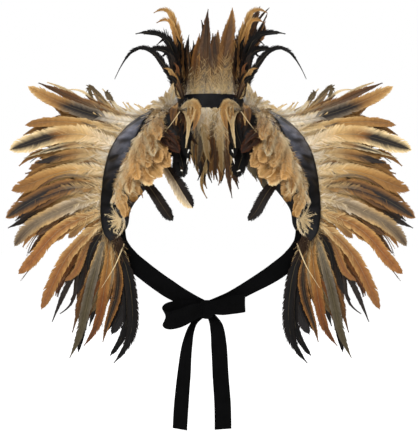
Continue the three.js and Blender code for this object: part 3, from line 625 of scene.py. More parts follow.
def grown(obj, tree, values, name):
    """Runs a tree on an object and keeps the result as a plain mesh object."""
    modifier = obj.modifiers.new("grow", "NODES")
    modifier.node_group = tree
    for item in tree.interface.items_tree:
        if item.in_out == "INPUT" and item.name in values:
            modifier[item.identifier] = values[item.name]
    graph = bpy.context.evaluated_depsgraph_get()
    graph.update()
    mesh = bpy.data.meshes.new_from_object(obj.evaluated_get(graph), preserve_all_data_layers=True, depsgraph=graph)
    obj.modifiers.clear()
    bpy.data.objects.remove(obj)
    mesh.name = name
    return link(name, mesh)


barbs = barb_tree()
clump_objects = (barb_object("left_barb", 0.9), barb_object("right_barb", -0.9), strand_object("down_strand"))
# Share of a field of the map, along it and across it, that stays free at each edge and that a vane fills
MAP_EDGE = 0.04
MAP_FILL = 0.92


def read(mesh, key):
    values = np.zeros(len(mesh.vertices))
    mesh.attributes[key].data.foreach_get("value", values)
    return values


def bake_map(mesh, cells):
    """One field of the map for each feather: along it and across it."""
    grid = math.ceil(math.sqrt(cells))
    cell = np.rint(read(mesh, "cell"))
    reach = np.clip(read(mesh, "reach"), 0, 1)
    along = np.clip(read(mesh, "along") + reach * read(mesh, "sweep"), 0, 1)
    across = 0.5 + 0.44 * reach * np.sign(read(mesh, "side"))
    u = (cell % grid + MAP_EDGE + MAP_FILL * along) / grid
    v = (cell // grid + MAP_EDGE + MAP_FILL * across) / grid
    corner = np.zeros(len(mesh.loops), dtype=int)
    mesh.loops.foreach_get("vertex_index", corner)
    layer = mesh.uv_layers.new(name="OFBake")
    layer.data.foreach_set("uv", np.stack([u[corner], v[corner]], axis=-1).ravel())


def dress(piece, node):
    """Puts a piece on the cape in the place of its solid."""
    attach(piece, "root")
    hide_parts(node)


def feather_piece(name, bunch, node, material, mirror=False):
    data, shafts = bunch.gathered(mirror)
    points = bpy.data.meshes.new(name + "_points")
    points.vertices.add(len(data["at"]))
    points.vertices.foreach_set("co", (data["at"] * MM).ravel())
    data["size"] = data["size"] * MM
    for field in FIELDS[1:]:
        add_attribute(points, field, data[field])
    shaft_object = link(name + "_shafts", shaft_mesh(name + "_shafts", shafts))
    piece = grown(link(name + "_points", points), barbs, {
        **dict(zip(CLUMPS, clump_objects)), "Shafts": shaft_object, "Length Variation": LENGTH_VARIATION,
        "Seed": LENGTH_SEED, "Finish": material,
    }, name)
    bpy.data.objects.remove(shaft_object)
    bake_map(piece.data, bunch.count)
    piece.data.shade_smooth()
    for key in ("aim", "facing", "size", "shape"):
        if key in piece.data.attributes:
            piece.data.attributes.remove(piece.data.attributes[key])
    dress(piece, node)


def feather_pair(node, bunch, material, name=None):
    name = name or node + "_feathers"
    feather_piece(name + "_left", bunch, node + "_left", material)
    feather_piece(name + "_right", bunch, node + "_right", material, mirror=True)


# Shader groups and materials
def maths(tree, operation, *values):
    return add_node(tree, "ShaderNodeMath", dict(enumerate(values)), operation=operation)


def ranged(tree, value, low, high, to_low=0, to_high=1, kind="LINEAR"):
    return add_node(tree, "ShaderNodeMapRange", {
        "Value": value, "From Min": low, "From Max": high, "To Min": to_low, "To Max": to_high,
    }, interpolation_type=kind)


def mixed(tree, factor, first, second):
    return add_node(tree, "ShaderNodeMix", {"Factor": factor, 6: first, 7: second}, data_type="RGBA").outputs[2]


def scaled(tree, colour, strength):
    return add_node(tree, "ShaderNodeVectorMath", {0: colour, "Scale": strength}, operation="SCALE")


def feather_tone_group():
    """Colour across a vane, with the streaks of its barbs, and the sheen that dark barbs have."""
    tree, given, result = new_group("feather tone", "ShaderNodeTree", (
        ("Shaft Colour", "Color"), ("Edge Colour", "Color"), ("Along", "Float", 0), ("Reach", "Float", 0),
        ("Feather", "Float", 0), ("Streak", "Float", 0.3),
    ), (("Colour", "Color"), ("Roughness", "Float"), ("Height", "Float")))
    spread = ranged(tree, given["Reach"], 0.25, 0.95, kind="SMOOTHSTEP")
    across = mixed(tree, spread, given["Shaft Colour"], given["Edge Colour"])
    place = add_node(tree, "ShaderNodeCombineXYZ", {
        axis: maths(tree, "MULTIPLY", given[label], times)
        for axis, (label, times) in enumerate((("Along", 46), ("Reach", 1.6), ("Feather", 7.3)))})
    noise = add_node(tree, "ShaderNodeTexNoise", {"Vector": place, "Scale": 1, "Detail": 3, "Roughness": 0.65})
    streak = maths(tree, "MULTIPLY", given["Streak"], 2.4)
    strength = maths(tree, "MULTIPLY_ADD", maths(tree, "SUBTRACT", noise, 0.5), streak, 1)
    grey = add_node(tree, "ShaderNodeRGBToBW", {0: across})
    feed(tree, result["Colour"], scaled(tree, across, strength))
    feed(tree, result["Roughness"], ranged(tree, grey, 0.01, 0.25, 0.42, 0.72))
    feed(tree, result["Height"], noise)
    return tree


def fibre_group():
    """Fine crossed threads or nap on a cloth, in Object coordinates."""
    tree, given, result = new_group("cloth fibres", "ShaderNodeTree", (
        ("Colour", "Color"), ("Light Colour", "Color"), ("Threads", "Float", 1500), ("Mottle", "Float", 60),
    ), (("Colour", "Color"), ("Height", "Float")))
    where = add_node(tree, "ShaderNodeTexCoord").outputs["Object"]
    fine = add_node(tree, "ShaderNodeTexNoise", {"Vector": where, "Scale": given["Threads"], "Detail": 2})
    broad = add_node(tree, "ShaderNodeTexNoise", {
        "Vector": where, "Scale": given["Mottle"], "Detail": 4, "Roughness": 0.6})
    both = maths(tree, "MULTIPLY", fine, broad)
    feed(tree, result["Colour"], mixed(tree, ranged(tree, both, 0.12, 0.42), given["Colour"], given["Light Colour"]))
    feed(tree, result["Height"], both)
    return tree


feather_tone = feather_tone_group()
cloth_fibres = fibre_group()


def new_material(name, **values):
    """A material, its tree and its shader's inputs, with the values that are the same all over."""
    material = bpy.data.materials.new(name)
    material.use_nodes = True
    shader = material.node_tree.nodes["Principled BSDF"].inputs
    for key, value in values.items():
        shader[key.replace("_", " ")].default_value = value
    return material, material.node_tree, shader


def add_bump(tree, shader, height, strength, distance):
    feed(tree, shader["Normal"], add_node(tree, "ShaderNodeBump", {
        "Strength": strength, "Distance": distance, "Height": height}))


def feather_material(name, streak, sheen, gloss=0.18):
    material, tree, shader = new_material(name, Sheen_Weight=sheen, Sheen_Roughness=0.5, Specular_IOR_Level=gloss)
    tone = add_node(tree, "ShaderNodeGroup", {"Streak": streak}, node_tree=feather_tone)
    for key, label, output in (
        ("tint", "Shaft Colour", "Color"), ("edge", "Edge Colour", "Color"), ("along", "Along", "Fac"),
        ("reach", "Reach", "Fac"), ("cell", "Feather", "Fac"),
    ):
        feed(tree, tone.inputs[label], add_node(tree, "ShaderNodeAttribute", attribute_name=key).outputs[output])
    feed(tree, shader["Base Color"], tone.outputs["Colour"])
    feed(tree, shader["Roughness"], tone.outputs["Roughness"])
    add_bump(tree, shader, tone.outputs["Height"], 0.25, 0.0006)
    return material


tan_feather = feather_material("tan_feather", 0.42, 0.06)
cream_feather = feather_material("cream_feather", 0.3, 0.1)
brown_feather = feather_material("brown_feather", 0.46, 0.03, 0.14)
dark_feather = feather_material("dark_feather", 0.5, 0.0, 0.08)


def fibres(tree, colour, light_colour, threads, mottle):
    return add_node(tree, "ShaderNodeGroup", {
        "Colour": (*linear(colour), 1), "Light Colour": (*linear(light_colour), 1), "Threads": threads,
        "Mottle": mottle,
    }, node_tree=cloth_fibres)


def cloth_material(name, colour, light_colour, threads, mottle, bump_depth, **values):
    material, tree, shader = new_material(name, **values)
    cloth = fibres(tree, colour, light_colour, threads, mottle)
    feed(tree, shader["Base Color"], cloth.outputs["Colour"])
    add_bump(tree, shader, cloth.outputs["Height"], 0.4, bump_depth)
    return material


black_cloth = cloth_material("black_cloth", (12, 12, 13), (24, 24, 27), 2200, 50, 0.0003, Roughness=0.85,
                             Sheen_Weight=0.05)
velvet = cloth_material("black_velvet", (3, 3, 3), (8, 8, 9), 2600, 40, 0.0004, Roughness=1, Specular_IOR_Level=0.06)


def satin_material(name, top, top_light):
    """Black satin with painted light: a slate painted sheen on top of the shoulder, painted highlights and shade on its
    diagonal wrinkles, and darker along both bound edges.
    """
    material, tree, shader = new_material(name, Roughness=0.38, Specular_IOR_Level=0.15)
    where = add_node(tree, "ShaderNodeTexCoord").outputs["Object"]
    height = add_node(tree, "ShaderNodeSeparateXYZ", {0: where}).outputs["Z"]
    lower = fibres(tree, (7, 7, 8), (19, 18, 21), 2400, 70)
    upper = fibres(tree, top, top_light, 2400, 55)
    # Painted sheen: lighter slate above the shoulder's turn, where the satin faces the light, and near black below.
    tone = mixed(tree, ranged(tree, height, -0.13, -0.07, kind="SMOOTHSTEP"), lower, upper)
    # Painted highlights on the wrinkles' ridges and painted shade in their troughs, scaled by the fold attribute.
    fold = add_node(tree, "ShaderNodeAttribute", attribute_name="fold").outputs["Fac"]
    lit = ranged(tree, fold, -1.1, 1.1, 0.12, 2.2, "SMOOTHSTEP")
    feed(tree, shader["Base Color"], scaled(tree, tone, lit))
    add_bump(tree, shader, upper.outputs["Height"], 0.3, 0.0004)
    return material


# The bands' slate top is painted sheen; the neck band's darker top keeps it near black.
satin = satin_material("black_satin", (38, 39, 44), (92, 93, 102))
neck_satin = satin_material("neck_satin", (16, 16, 18), (42, 42, 48))


# Cloth shells
SHARP = math.radians(50)


def shell(name, points, normals, low, high, material, mirror=False, fold=0.0):
    """A thin wall on a grid of points in millimetres, between two distances along the normals."""
    rows, columns = points.shape[:2]
    low = np.broadcast_to(np.asarray(low, float), (rows, columns))
    high = np.broadcast_to(np.asarray(high, float), (rows, columns))
    sides = [points + normals * level[..., None] for level in (low, high)]
    corners = np.concatenate([side.reshape(-1, 3) for side in sides]) * MM
    n = rows * columns
    index = np.arange(n).reshape(rows, columns)
    a, b, c, d = (index[:-1, :-1], index[:-1, 1:], index[1:, 1:], index[1:, :-1])
    top = np.stack([a, b, c, d], axis=-1).reshape(-1, 4) + n
    under = np.stack([a, d, c, b], axis=-1).reshape(-1, 4)
    rim = np.concatenate([index[0, :-1], index[:-1, -1], index[-1, :0:-1], index[:0:-1, 0]])
    following = np.roll(rim, -1)
    edge = np.stack([rim, following, following + n, rim + n], axis=-1)
    faces = np.concatenate([top, under, edge])
    if mirror:
        corners = corners * MIRROR
    mesh = plain_mesh(name, corners, faces, fold=np.tile(np.broadcast_to(fold, (rows, columns)).ravel(), 2))
    piece = closed_object(name, mesh, material)
    mesh.set_sharp_from_angle(angle=SHARP)
    return piece


def closed_object(name, mesh, material):
    """Links a closed mesh with its faces turned outwards."""
    if sum_volume(mesh) < 0:
        mesh.flip_normals()
    mesh.shade_smooth()
    mesh.materials.append(material)
    return link(name, mesh)


def sum_volume(mesh):
    mesh.calc_loop_triangles()
    corners = np.zeros(len(mesh.vertices) * 3)
    mesh.vertices.foreach_get("co", corners)
    corners = corners.reshape(-1, 3)
    triangles = np.zeros(len(mesh.loop_triangles) * 3, dtype=int)
    mesh.loop_triangles.foreach_get("vertices", triangles)
    a, b, c = (corners[triangles.reshape(-1, 3)[:, k]] for k in range(3))
    return float(np.sum(np.cross(a, b) * c) / 6)


def declare(piece, node, slot, points, held, **more):
    dress(piece, node)


def creases(row, share, seed, count, depth):
    """Soft diagonal troughs and ridges, uneven in length, depth and spacing."""
    rng = np.random.default_rng(seed)
    height = np.zeros_like(row)
    for _ in range(count):
        r0, s0 = rng.uniform(0.3, YOKE_LAST - 0.3), rng.uniform(0.1, 0.9)
        slant = rng.uniform(-1.1, 0.5)
        reach, thick = rng.uniform(0.2, 0.6), rng.uniform(0.05, 0.2)
        along = share - s0
        off = (row - r0) - slant * along
        height += rng.uniform(-1, 1) * depth * np.exp(-((off / thick) ** 2) - (along / reach) ** 2)
    return height


def yoke_piece(name, surface, node, mirror):
    row, share = np.meshgrid(np.linspace(0, YOKE_LAST, 61), np.linspace(0, 1, 19), indexing="ij")
    points, normals = surface(row, share)
    fold = creases(row, share, 21, 16, 0.5)
    piece = shell(name, points, normals, fold - CLOTH - 0.3, fold - 0.6, black_cloth, mirror)
    declare(piece, node, "lining_cloth", points, "draped", rests_on=["neck_band_cloth"])


def ridge(part, place):
    """A narrow ridge at a place across a band."""
    return np.exp(-(((part - place) / 0.05) ** 2))


def band_piece(name, table, surface, first_row, node, mirror, seed):
    row, part = np.meshgrid(np.linspace(first_row, YOKE_LAST, 141), np.linspace(0, 1, 17), indexing="ij")
    share = 1 - full_band(table, row) * (1 - part)
    points, normals = surface(row, share)
    fold = creases(row, part, seed, 60, 1.5) * np.sin(math.pi * np.clip(part, 0.04, 0.96)) ** 0.4
    hem = 0.5 * ridge(part, 0.97) + 0.4 * ridge(part, 0.03)
    crown = 0.9 * np.sin(math.pi * part)
    low = BAND_LIFT + 0.1 + fold * 0.5 + crown * 0.6
    high = BAND_LIFT + SATIN + fold + hem + crown
    # The fold attribute paints highlights on the wrinkle ridges, shade in their troughs, and darkening along both
    # edges.
    piece = shell(name, points, normals, low, high, satin, mirror,
                  fold - 1.6 * ridge(part, 0.97) - 0.8 * ridge(part, 0))
    declare(piece, node, "satin", points, "draped", rests_on=[node.replace("band", "yoke")])


def neck_band_piece():
    angle, height = np.meshgrid(np.linspace(-NECK_END, NECK_END, 109), np.linspace(0, NECK_BAND_HEIGHT, 9),
                                indexing="ij")
    points = neck_point(angle, 0, 0) + height[..., None] * np.array([0, 0, 1.0])
    normals = neck_outward(angle)
    fold = creases((angle + NECK_END) / (2 * NECK_END) * YOKE_LAST, height / NECK_BAND_HEIGHT, 9, 12, 0.35)
    # The neck band's painted wrinkle highlights and shade are shifted lower, so it is darker all over.
    piece = shell("neck_band_cloth", points, normals, fold - CLOTH, fold, neck_satin, fold=-0.5 + fold)
    declare(piece, "neck_band", "satin", points, "hung")


neck_band_piece()
for side, mirror in (("left", False), ("right", True)):
    yoke_piece("yoke_front_cloth_" + side, front_surface, "yoke_front_" + side, mirror)
    yoke_piece("yoke_back_cloth_" + side, back_surface, "yoke_back_" + side, mirror)
    band_piece("band_front_satin_" + side, FRONT_YOKE, front_surface, 0.75, "band_front_" + side, mirror, 5)
    band_piece("band_back_satin_" + side, BACK_YOKE, back_surface, 2.43, "band_back_" + side, mirror, 6)


# Wing feathers: place on the outer edge, tip x, tip z, width, bow, colouring
WING_FRONT = (
    (1.9, -327, 38, 25, -18, "dark_middle"),
    (2.8, -332, -32, 20, 18, "gold"),
    (3.6, -359, -76, 32, 34, "cream_edge"),
    (4.3, -314, -100, 20, 14, "dark_tip"),
    (5.0, -354, -149, 28, 20, "gold"),
    (5.7, -364, -198, 28, 30, "striped"),
    (6.3, -348, -248, 26, 30, "grey"),
    (6.9, -341, -297, 24, 28, "orange"),
    (7.5, -300, -360, 23, 26, "orange"),
)
WING_MIDDLE = (
    (1.0, -215, 36, 13, -40, "grey"),
    (1.7, -296, 47, 14, -14, "cream"),
    (2.4, -276, -14, 24, 8, "dark_middle"),
    (3.2, -338, -50, 26, 22, "gold"),
    (4.0, -345, -106, 20, 20, "gold"),
    (4.7, -338, -132, 24, 18, "gold"),
    (5.3, -350, -172, 26, 20, "gold"),
    (6.0, -363, -216, 24, 24, "dark_tip"),
    (6.6, -326, -262, 24, 26, "brown"),
    (7.2, -276, -338, 22, 18, "rust"),
    (7.8, -283, -385, 14, 14, "dark"),
)
WING_INNER = (
    (0.9, -184, 20, 12, -28, "sand"),
    (1.4, -252, 8, 18, -14, "cream"),
    (2.1, -300, 20, 24, -8, "gold"),
    (2.9, -316, -44, 24, 16, "gold"),
    (3.7, -348, -68, 24, 26, "sand"),
    (4.4, -336, -118, 22, 18, "gold"),
    (5.2, -346, -164, 24, 18, "brown"),
    (5.9, -352, -204, 26, 22, "dark_tip"),
    (6.6, -338, -252, 26, 24, "gold"),
    (7.3, -286, -336, 24, 14, "brown"),
    (8.0, -252, -346, 22, 12, "dark"),
)
WING_LOWER = (
    (8.0, -249, -446, 20, -6, "olive"),
    (8.35, -224, -424, 20, -26, "rust"),
    (8.7, -190, -418, 18, -30, "striped"),
    (9.0, -172, -455, 22, -58, "black"),
)
WING_BACK_INNER = (
    (2.1, -290, 10, 26, -8, "gold"),
    (2.9, -312, -42, 26, 14, "dark_tip"),
    (3.7, -326, -72, 26, 22, "gold"),
    (4.5, -338, -130, 26, 18, "sand"),
    (5.3, -342, -180, 26, 18, "gold"),
    (6.1, -340, -230, 26, 24, "grey"),
    (6.9, -312, -258, 24, 24, "gold"),
    (7.7, -280, -344, 26, 12, "rust"),
    (8.5, -222, -398, 24, -10, "dark"),
)
WING_BACK = (
    (1.6, -254, 8, 24, -6, "sand"),
    (2.5, -288, -20, 28, 2, "gold"),
    (3.3, -322, -66, 28, 22, "cream_edge"),
    (4.1, -332, -108, 28, 18, "gold"),
    (4.9, -336, -154, 28, 20, "gold"),
    (5.7, -336, -204, 28, 26, "striped"),
    (6.5, -318, -240, 26, 26, "grey"),
    (7.3, -290, -318, 28, 12, "orange"),
    (8.1, -244, -352, 26, 8, "brown"),
    (8.9, -182, -412, 26, -34, "dark"),
)
# Depth of a tip for the depth of its root, how far roots start under the band, strands of down at the roots of a row,
# and how much wider and more bowed a feather is than its row in the table says
TIP_FOLLOWS = 0.5
UNDER_BAND = 5.5
ROOT_DOWN = 420
WIDER = 1.15
BOWED = 1.3
# Places along the yoke: the shoulder's last, the hem's first, and the gap between the wing and its lower feathers
SHOULDER_END = 1.9
HEM_START = 7
GAP = (6.5, 7.9)
TOWARDS_VIEW = (0, -1, 0)


def zone(place):
    if place < 3:
        return "upper"
    if place < 6:
        return "middle"
    return "lower" if place < 7.6 else "hem"


def wing(table, surface, layers, tip_depth, outline, fills, seed, spacing=2.8):
    """A row of a wing: feathers on the solid's blades, stray hackles, shorter feathers beside them, and down."""
    bunch = Bunch(seed, spacing)
    rng = bunch.random
    sign = math.copysign(1, layers)

    def root_at(place):
        edge = surface(np.array(min(place, YOKE_LAST)), np.array(1.0))[0]
        chest = np.clip((place - 0.6) / 3.0, 0, 1)
        chest = chest * chest * (3 - 2 * chest)
        first, following = (low + (high - low) * chest for low, high in (FIRST_LAYER, NEXT_LAYER))
        behind = first + (abs(layers) - 1) * following
        return edge + np.array([abs(layers), sign * behind, -0.1 * behind])

    def bent(root, tip, width, bow, colouring, **options):
        root = root - unit(tip - root) * UNDER_BAND
        across = unit(np.array([tip[2] - root[2], 0, root[0] - tip[0]]))
        middle = root + (tip - root) * 0.45 + across * bow
        bunch.feather(root, middle, tip, width, (0, -sign, 0), colouring, **options)

    def stray(place, tip, bow):
        start = root_at(place + rng.uniform(-0.3, 0.3)) + np.array([0, sign * 3, 0])
        end = start + (tip - start) * rng.uniform(0.84, 0.99)
        end = end + np.array([0, sign * rng.uniform(2, 9), rng.normal(0, 13)])
        bent(start, end, rng.uniform(8, 12), bow * BOWED + rng.normal(0, 12),
             rng.choice(["sand", "brown", "gold", "dark"]), outline="hackle", ragged=2.0)

    def fill(place, tip, width, bow, colouring, long, beside_gap):
        near = np.clip(place + rng.normal(0, 0.06 if beside_gap else 0.22), 0.7, YOKE_LAST)
        start = root_at(near) + np.array([0, sign * rng.uniform(1, 4), 0])
        short = rng.uniform(0.6, 0.94) if long else rng.uniform(0.34, 0.62)
        swing = rng.normal(0, 0.02 if beside_gap else 0.06 if long else 0.16)
        reach = (tip - start) * short
        turned = np.array([
            reach[0] * math.cos(swing) - reach[2] * math.sin(swing), reach[1] + sign * rng.uniform(1, 9),
            reach[0] * math.sin(swing) + reach[2] * math.cos(swing)])
        kind = colouring if rng.random() < 0.3 else rng.choice(MIXES[zone(near)])
        if near < SHOULDER_END:
            kind = rng.choice(MIXES["pale"])
            bent(start, start + turned, width * rng.uniform(0.6, 0.95), bow * short, kind, outline="downy", fluff=0.55,
                 ragged=1.3)
        else:
            bent(start, start + turned, width * rng.uniform(0.6, 0.95), bow * short + rng.normal(0, 9), kind,
                 outline=rng.choice(["plain", "hackle", "round"]), fluff=0.34 if near < HEM_START else 0.1, ragged=1.3)

    for place, x, z, width, bow, colouring in table:
        tip = np.array([x, root_at(place)[1] * TIP_FOLLOWS + tip_depth, z])
        bent(root_at(place), tip, width * WIDER, bow * BOWED, colouring, ragged=0.9,
             outline="plain" if colouring == "dark_tip" else outline, fluff=0.24 if place < HEM_START else 0.12)
        if 2 < place < HEM_START:
            stray(place, tip, bow)
        beside_gap = GAP[0] < place < GAP[1]
        for k in range(fills - 2 if beside_gap and fills > 2 else fills):
            fill(place, tip, width, bow, colouring, k < fills * 0.5 and not (beside_gap and k), beside_gap)

    places = rng.uniform(table[0][0], table[-1][0], ROOT_DOWN)
    at = np.array([root_at(place) for place in places])
    at += rng.normal(0, 1, at.shape) * (0.6, 0.6, 0)
    x, z = (np.interp(places, [row[0] for row in table], [row[column] for row in table]) for column in (1, 2))
    tips = np.stack([x, at[:, 1] * TIP_FOLLOWS + tip_depth, z], axis=-1)
    aim = unit(tips - at) + rng.normal(0, 0.22, at.shape)
    kinds = np.array([[linear(FLUFF), linear(CREAM), linear(SAND)], [linear(SAND), linear(GREY), linear(BROWN)]])
    tone = kinds[np.where(places < HEM_START, 0, 1), rng.integers(0, 3, ROOT_DOWN)]
    tone = tone * rng.uniform(0.75, 1.05, (ROOT_DOWN, 1))
    bunch.patch(at - unit(aim) * UNDER_BAND, aim, (0, -sign, 0), rng.uniform(12, 24, ROOT_DOWN), tone)
    return bunch


feather_pair("wing_front", wing(WING_FRONT, front_surface, 1, -28, "round", 4, 11, 2.4), tan_feather)
wing_middle = wing(WING_MIDDLE, front_surface, 1.88, -6, "plain", 4, 12, 2.5)
wing_middle.feather((-188, 4, 12), (-232, 2, 58), (-212, 0, 20), 12, TOWARDS_VIEW, "olive", outline="round")
wing_middle.feather((-178, 4, 8), (-196, 2, 44), (-176, 0, 14), 11, TOWARDS_VIEW, "olive", outline="round")
feather_pair("wing_middle", wing_middle, tan_feather)
wing_inner = wing(WING_INNER, front_surface, 2.88, 20, "plain", 4, 13, 2.8)
feather_pair("wing_inner", wing_inner, cream_feather)
wing_lower = wing(WING_LOWER, front_surface, 0.86, -60, "curled", 8, 14, 2.4)
END_GAP, END_DOWN = (-163, -100, -241), (200, 3)
end_gap = np.array(END_GAP) + wing_lower.random.normal(0, 1, END_DOWN) * (5, 3, 6)
wing_lower.patch(end_gap, wing_lower.random.normal(0, 0.4, END_DOWN) + (0.1, -0.2, -1), TOWARDS_VIEW, 14,
                 linear(UMBER))
wing_lower.quill(((-152, -100, -243), (-168, -112, -282), (-191, -118, -320)), 1.4, CREAM)
feather_pair("wing_lower", wing_lower, dark_feather)
wing_back_inner = wing(WING_BACK_INNER, back_surface, -2, 32, "plain", 3, 15, 3.2)
feather_pair("wing_back_inner", wing_back_inner, brown_feather)
feather_pair("wing_back", wing(WING_BACK, back_surface, -1, 54, "round", 4, 16, 2.9), tan_feather)

# Chest feathers: place along the yoke, tip x, tip z, width, lift, colouring
CHEST_LOW = (
    (3.5, -40, -92, 18, 0.1, "black"),
    (4.1, -46, -126, 28, 0.1, "black"),
    (5.8, -66, -202, 22, 0.1, ("all_dark", "all_dark")),
    (6.3, -134, -168, 16, 0.1, "gold"),
    (6.9, -148, -194, 14, 0.1, "gold"),
)
CHEST_LONG = (5.0, -31, -180, 26, 0.1, ("all_dark", "pale_vane"))
CHEST_MIDDLE = (
    (3.0, -54, -84, 16, 0.2, "hollow"),
    (3.6, -70, -108, 20, 0.2, "chest_gold"),
    (4.2, -84, -126, 20, 0.2, "chest_gold"),
    (4.8, -102, -140, 20, 0.2, "chest_sand"),
    (5.4, -124, -156, 20, 0.2, "chest_gold"),
    (6.0, -150, -196, 10, 0.2, "chest_gold"),
)
CHEST_HIGH = (
    (2.5, -88, -62, 18, 0.46, "chest_gold"),
    (3.1, -98, -90, 20, 0.46, "chest_sand"),
    (3.7, -110, -110, 20, 0.46, "chest_gold"),
    (4.3, -124, -130, 20, 0.46, "chest_gold"),
    (4.9, -140, -156, 20, 0.46, "chest_sand"),
)
# The chest's tips stay behind this depth
CHEST_FRONT = -144


def chest(table, share_at, off, fills, seed, mix, fluff, wider=1.15, kinds=("downy", "hackle")):
    """A row of the chest, its feathers lifted off the yoke, with shorter ones beside each."""
    bunch = Bunch(seed, 2.0)
    rng = bunch.random

    def on_row(place):
        return np.array(float(np.clip(place, 0.3, YOKE_LAST)))

    def place_one(place, x, z, width, lift, colouring, share_shift=0.0, **options):
        row = on_row(place)
        point, normal = front_surface(row, np.array(np.clip(share_at(row) + share_shift, 0.02, 0.98)))
        point = point + normal * off
        dx, dz = x - point[0], z - point[2]
        rise = lift * math.hypot(dx, dz)
        dy = (rise - dx * normal[0] - dz * normal[2]) / min(normal[1], -0.35)
        tip = np.array([x, max(point[1] + dy, CHEST_FRONT), z])
        via = point + (tip - point) * 0.4 + normal * (rise * 0.35 + 1)
        bunch.feather(point, via, tip, width, normal, colouring, fluff=fluff, **options)

    for place, x, z, width, lift, colouring in table:
        place_one(place, x, z, width * wider, lift, colouring, outline="round", ragged=0.5 if fluff < 0.3 else 1.2)
        for _ in range(fills if isinstance(colouring, str) else 0):
            near = place + rng.normal(0, 0.3)
            row = on_row(near)
            root = front_surface(row, np.array(float(share_at(row))))[0]
            short = rng.uniform(0.45, 0.95)
            tip_x = root[0] + (x - root[0]) * short + rng.normal(0, 6)
            tip_z = root[2] + (z - root[2]) * short + rng.normal(0, 6)
            kind = colouring if rng.random() < 0.35 or colouring == "hollow" else rng.choice(MIXES[mix])
            place_one(near, tip_x, tip_z, width * wider * rng.uniform(0.65, 0.95), lift * rng.uniform(0.5, 1.05), kind,
                      rng.uniform(-0.05, 0.03), outline=rng.choice(kinds), ragged=2.0, fine=0.8)
    return bunch


def yoke_down(bunch, rows, share, count, length, kinds, away, stand=0.5, level=STRIP_LIFT):
    """Loose down on the yoke: rooted in a strip, and combed across it and along it."""
    rng = bunch.random
    row = rng.uniform(rows[0], rows[1], count)
    place = np.clip(share(row) + rng.uniform(-1, 1, count) * 0.05, 0.02, 1)
    at, normal = front_surface(row, place)
    outer, inner = np.minimum(place + 0.05, 1), np.maximum(place - 0.05, 0)
    across = unit(front_surface(row, outer)[0] - front_surface(row, inner)[0])
    down = unit(front_surface(np.minimum(row + 0.1, YOKE_LAST), place)[0] - at)
    mixed_aim = across * (away[0] + rng.normal(0, 0.35, (count, 1)))
    mixed_aim = mixed_aim + down * (away[1] + rng.normal(0, 0.35, (count, 1)))
    aim = mixed_aim + normal * np.abs(rng.normal(stand, 0.25, (count, 1)))
    tone = np.array([linear(kind) for kind in kinds])[rng.integers(0, len(kinds), count)]
    tone = tone * rng.uniform(0.75, 1.1, (count, 1))
    bunch.patch(at + normal * level, aim, normal, rng.uniform(0.6, 1.2, count) * length, tone)


def low_share(row):
    return 0.1


def middle_share(row):
    return 0.6


def bare_top(row):
    """How much further in the fluff starts on the shoulder, where more of the band is bare."""
    return 0.11 * np.clip((4.8 - row) / 1.5, 0, 1)


def beside_band(row):
    return 1 - band_share(FRONT_YOKE, row) - 0.06 - bare_top(row)


def inner_band(row):
    return 1 - full_band(FRONT_YOKE, row) - 0.03 - bare_top(row)


def yoke_middle(row):
    return 0.42 + 0 * row


chest_left = (*CHEST_LOW[:2], CHEST_LONG, *CHEST_LOW[2:])
# Ends of the bare pale quills at the chest
QUILL_ENDS = (
    ((-40, -120, -93), (-42, -123, -103)),
    ((-52, -122, -114), (-45, -124, -117)),
    ((-38, -118, -78), (-40, -120, -84)),
)
QUILL_COLOUR = (236, 232, 222)
for side, table, seed in (("left", chest_left, 31), ("right", CHEST_LOW, 32)):
    chest_low = chest(table, low_share, STRIP_LIFT, 3, seed, "low", 0.12)
    for ends in QUILL_ENDS:
        chest_low.quill(ends, 1.5, QUILL_COLOUR)
    feather_piece("chest_low_feathers_" + side, chest_low, "chest_low_" + side, dark_feather,
                  mirror=side == "right")
chest_middle = chest(CHEST_MIDDLE, middle_share, STRIP_LIFT, 4, 33, "chest", 0.5, 1.6, ("round", "downy", "round"))
yoke_down(chest_middle, (2.2, 6.4), yoke_middle, 300, 12, (CREAM, HONEY, GOLD, SAND), (-0.9, 0.5))
chest_high = chest(CHEST_HIGH, beside_band, STRIP_LIFT - 0.7, 6, 34, "chest", 0.85, 1.3)
yoke_down(chest_high, (1.6, 7.2), inner_band, 900, 9, (HONEY, CREAM, GOLD, SAND), (0.75, 0.5), 0.55, 3.5)
yoke_down(chest_high, (5.4, 8.6), inner_band, 220, 12, (FLUFF, CREAM, CREAM), (0.4, 0.9), 0.6, 3)

# Cream tuft over the lower end of the band: place and share of each tip, width
TUFT = ((6.8, 0.5, 7), (7.1, 0.74, 8), (7.5, 0.62, 8), (7.9, 0.66, 8), (8.3, 0.42, 9), (8.5, 0.2, 9))
TUFT_DOWN = 22
tuft_root, tuft_normal = front_surface(np.array(7.5), np.array(0.2))
for row, share, width in TUFT:
    tuft_tip, normal = front_surface(np.array(row), np.array(share))
    chest_high.feather(tuft_root + tuft_normal * 3, (tuft_root + tuft_tip) / 2 + normal * 9, tuft_tip + normal * 7,
                       width * 0.7, normal, "all_cream", outline="hackle", fluff=0.9, ragged=2.4, shaft=False)
    rng = chest_high.random
    aim = unit(tuft_tip - tuft_root) + rng.normal(0, 0.2, (TUFT_DOWN, 3)) + normal * 0.3
    roots = tuft_root + tuft_normal * 4 + rng.normal(0, 1.5, (TUFT_DOWN, 3))
    long = np.linalg.norm(tuft_tip - tuft_root) * rng.uniform(0.4, 0.95, TUFT_DOWN)
    chest_high.patch(roots, aim, normal, long, linear(CREAM))
feather_pair("chest_middle", chest_middle, tan_feather)
feather_pair("chest_high", chest_high, tan_feather)

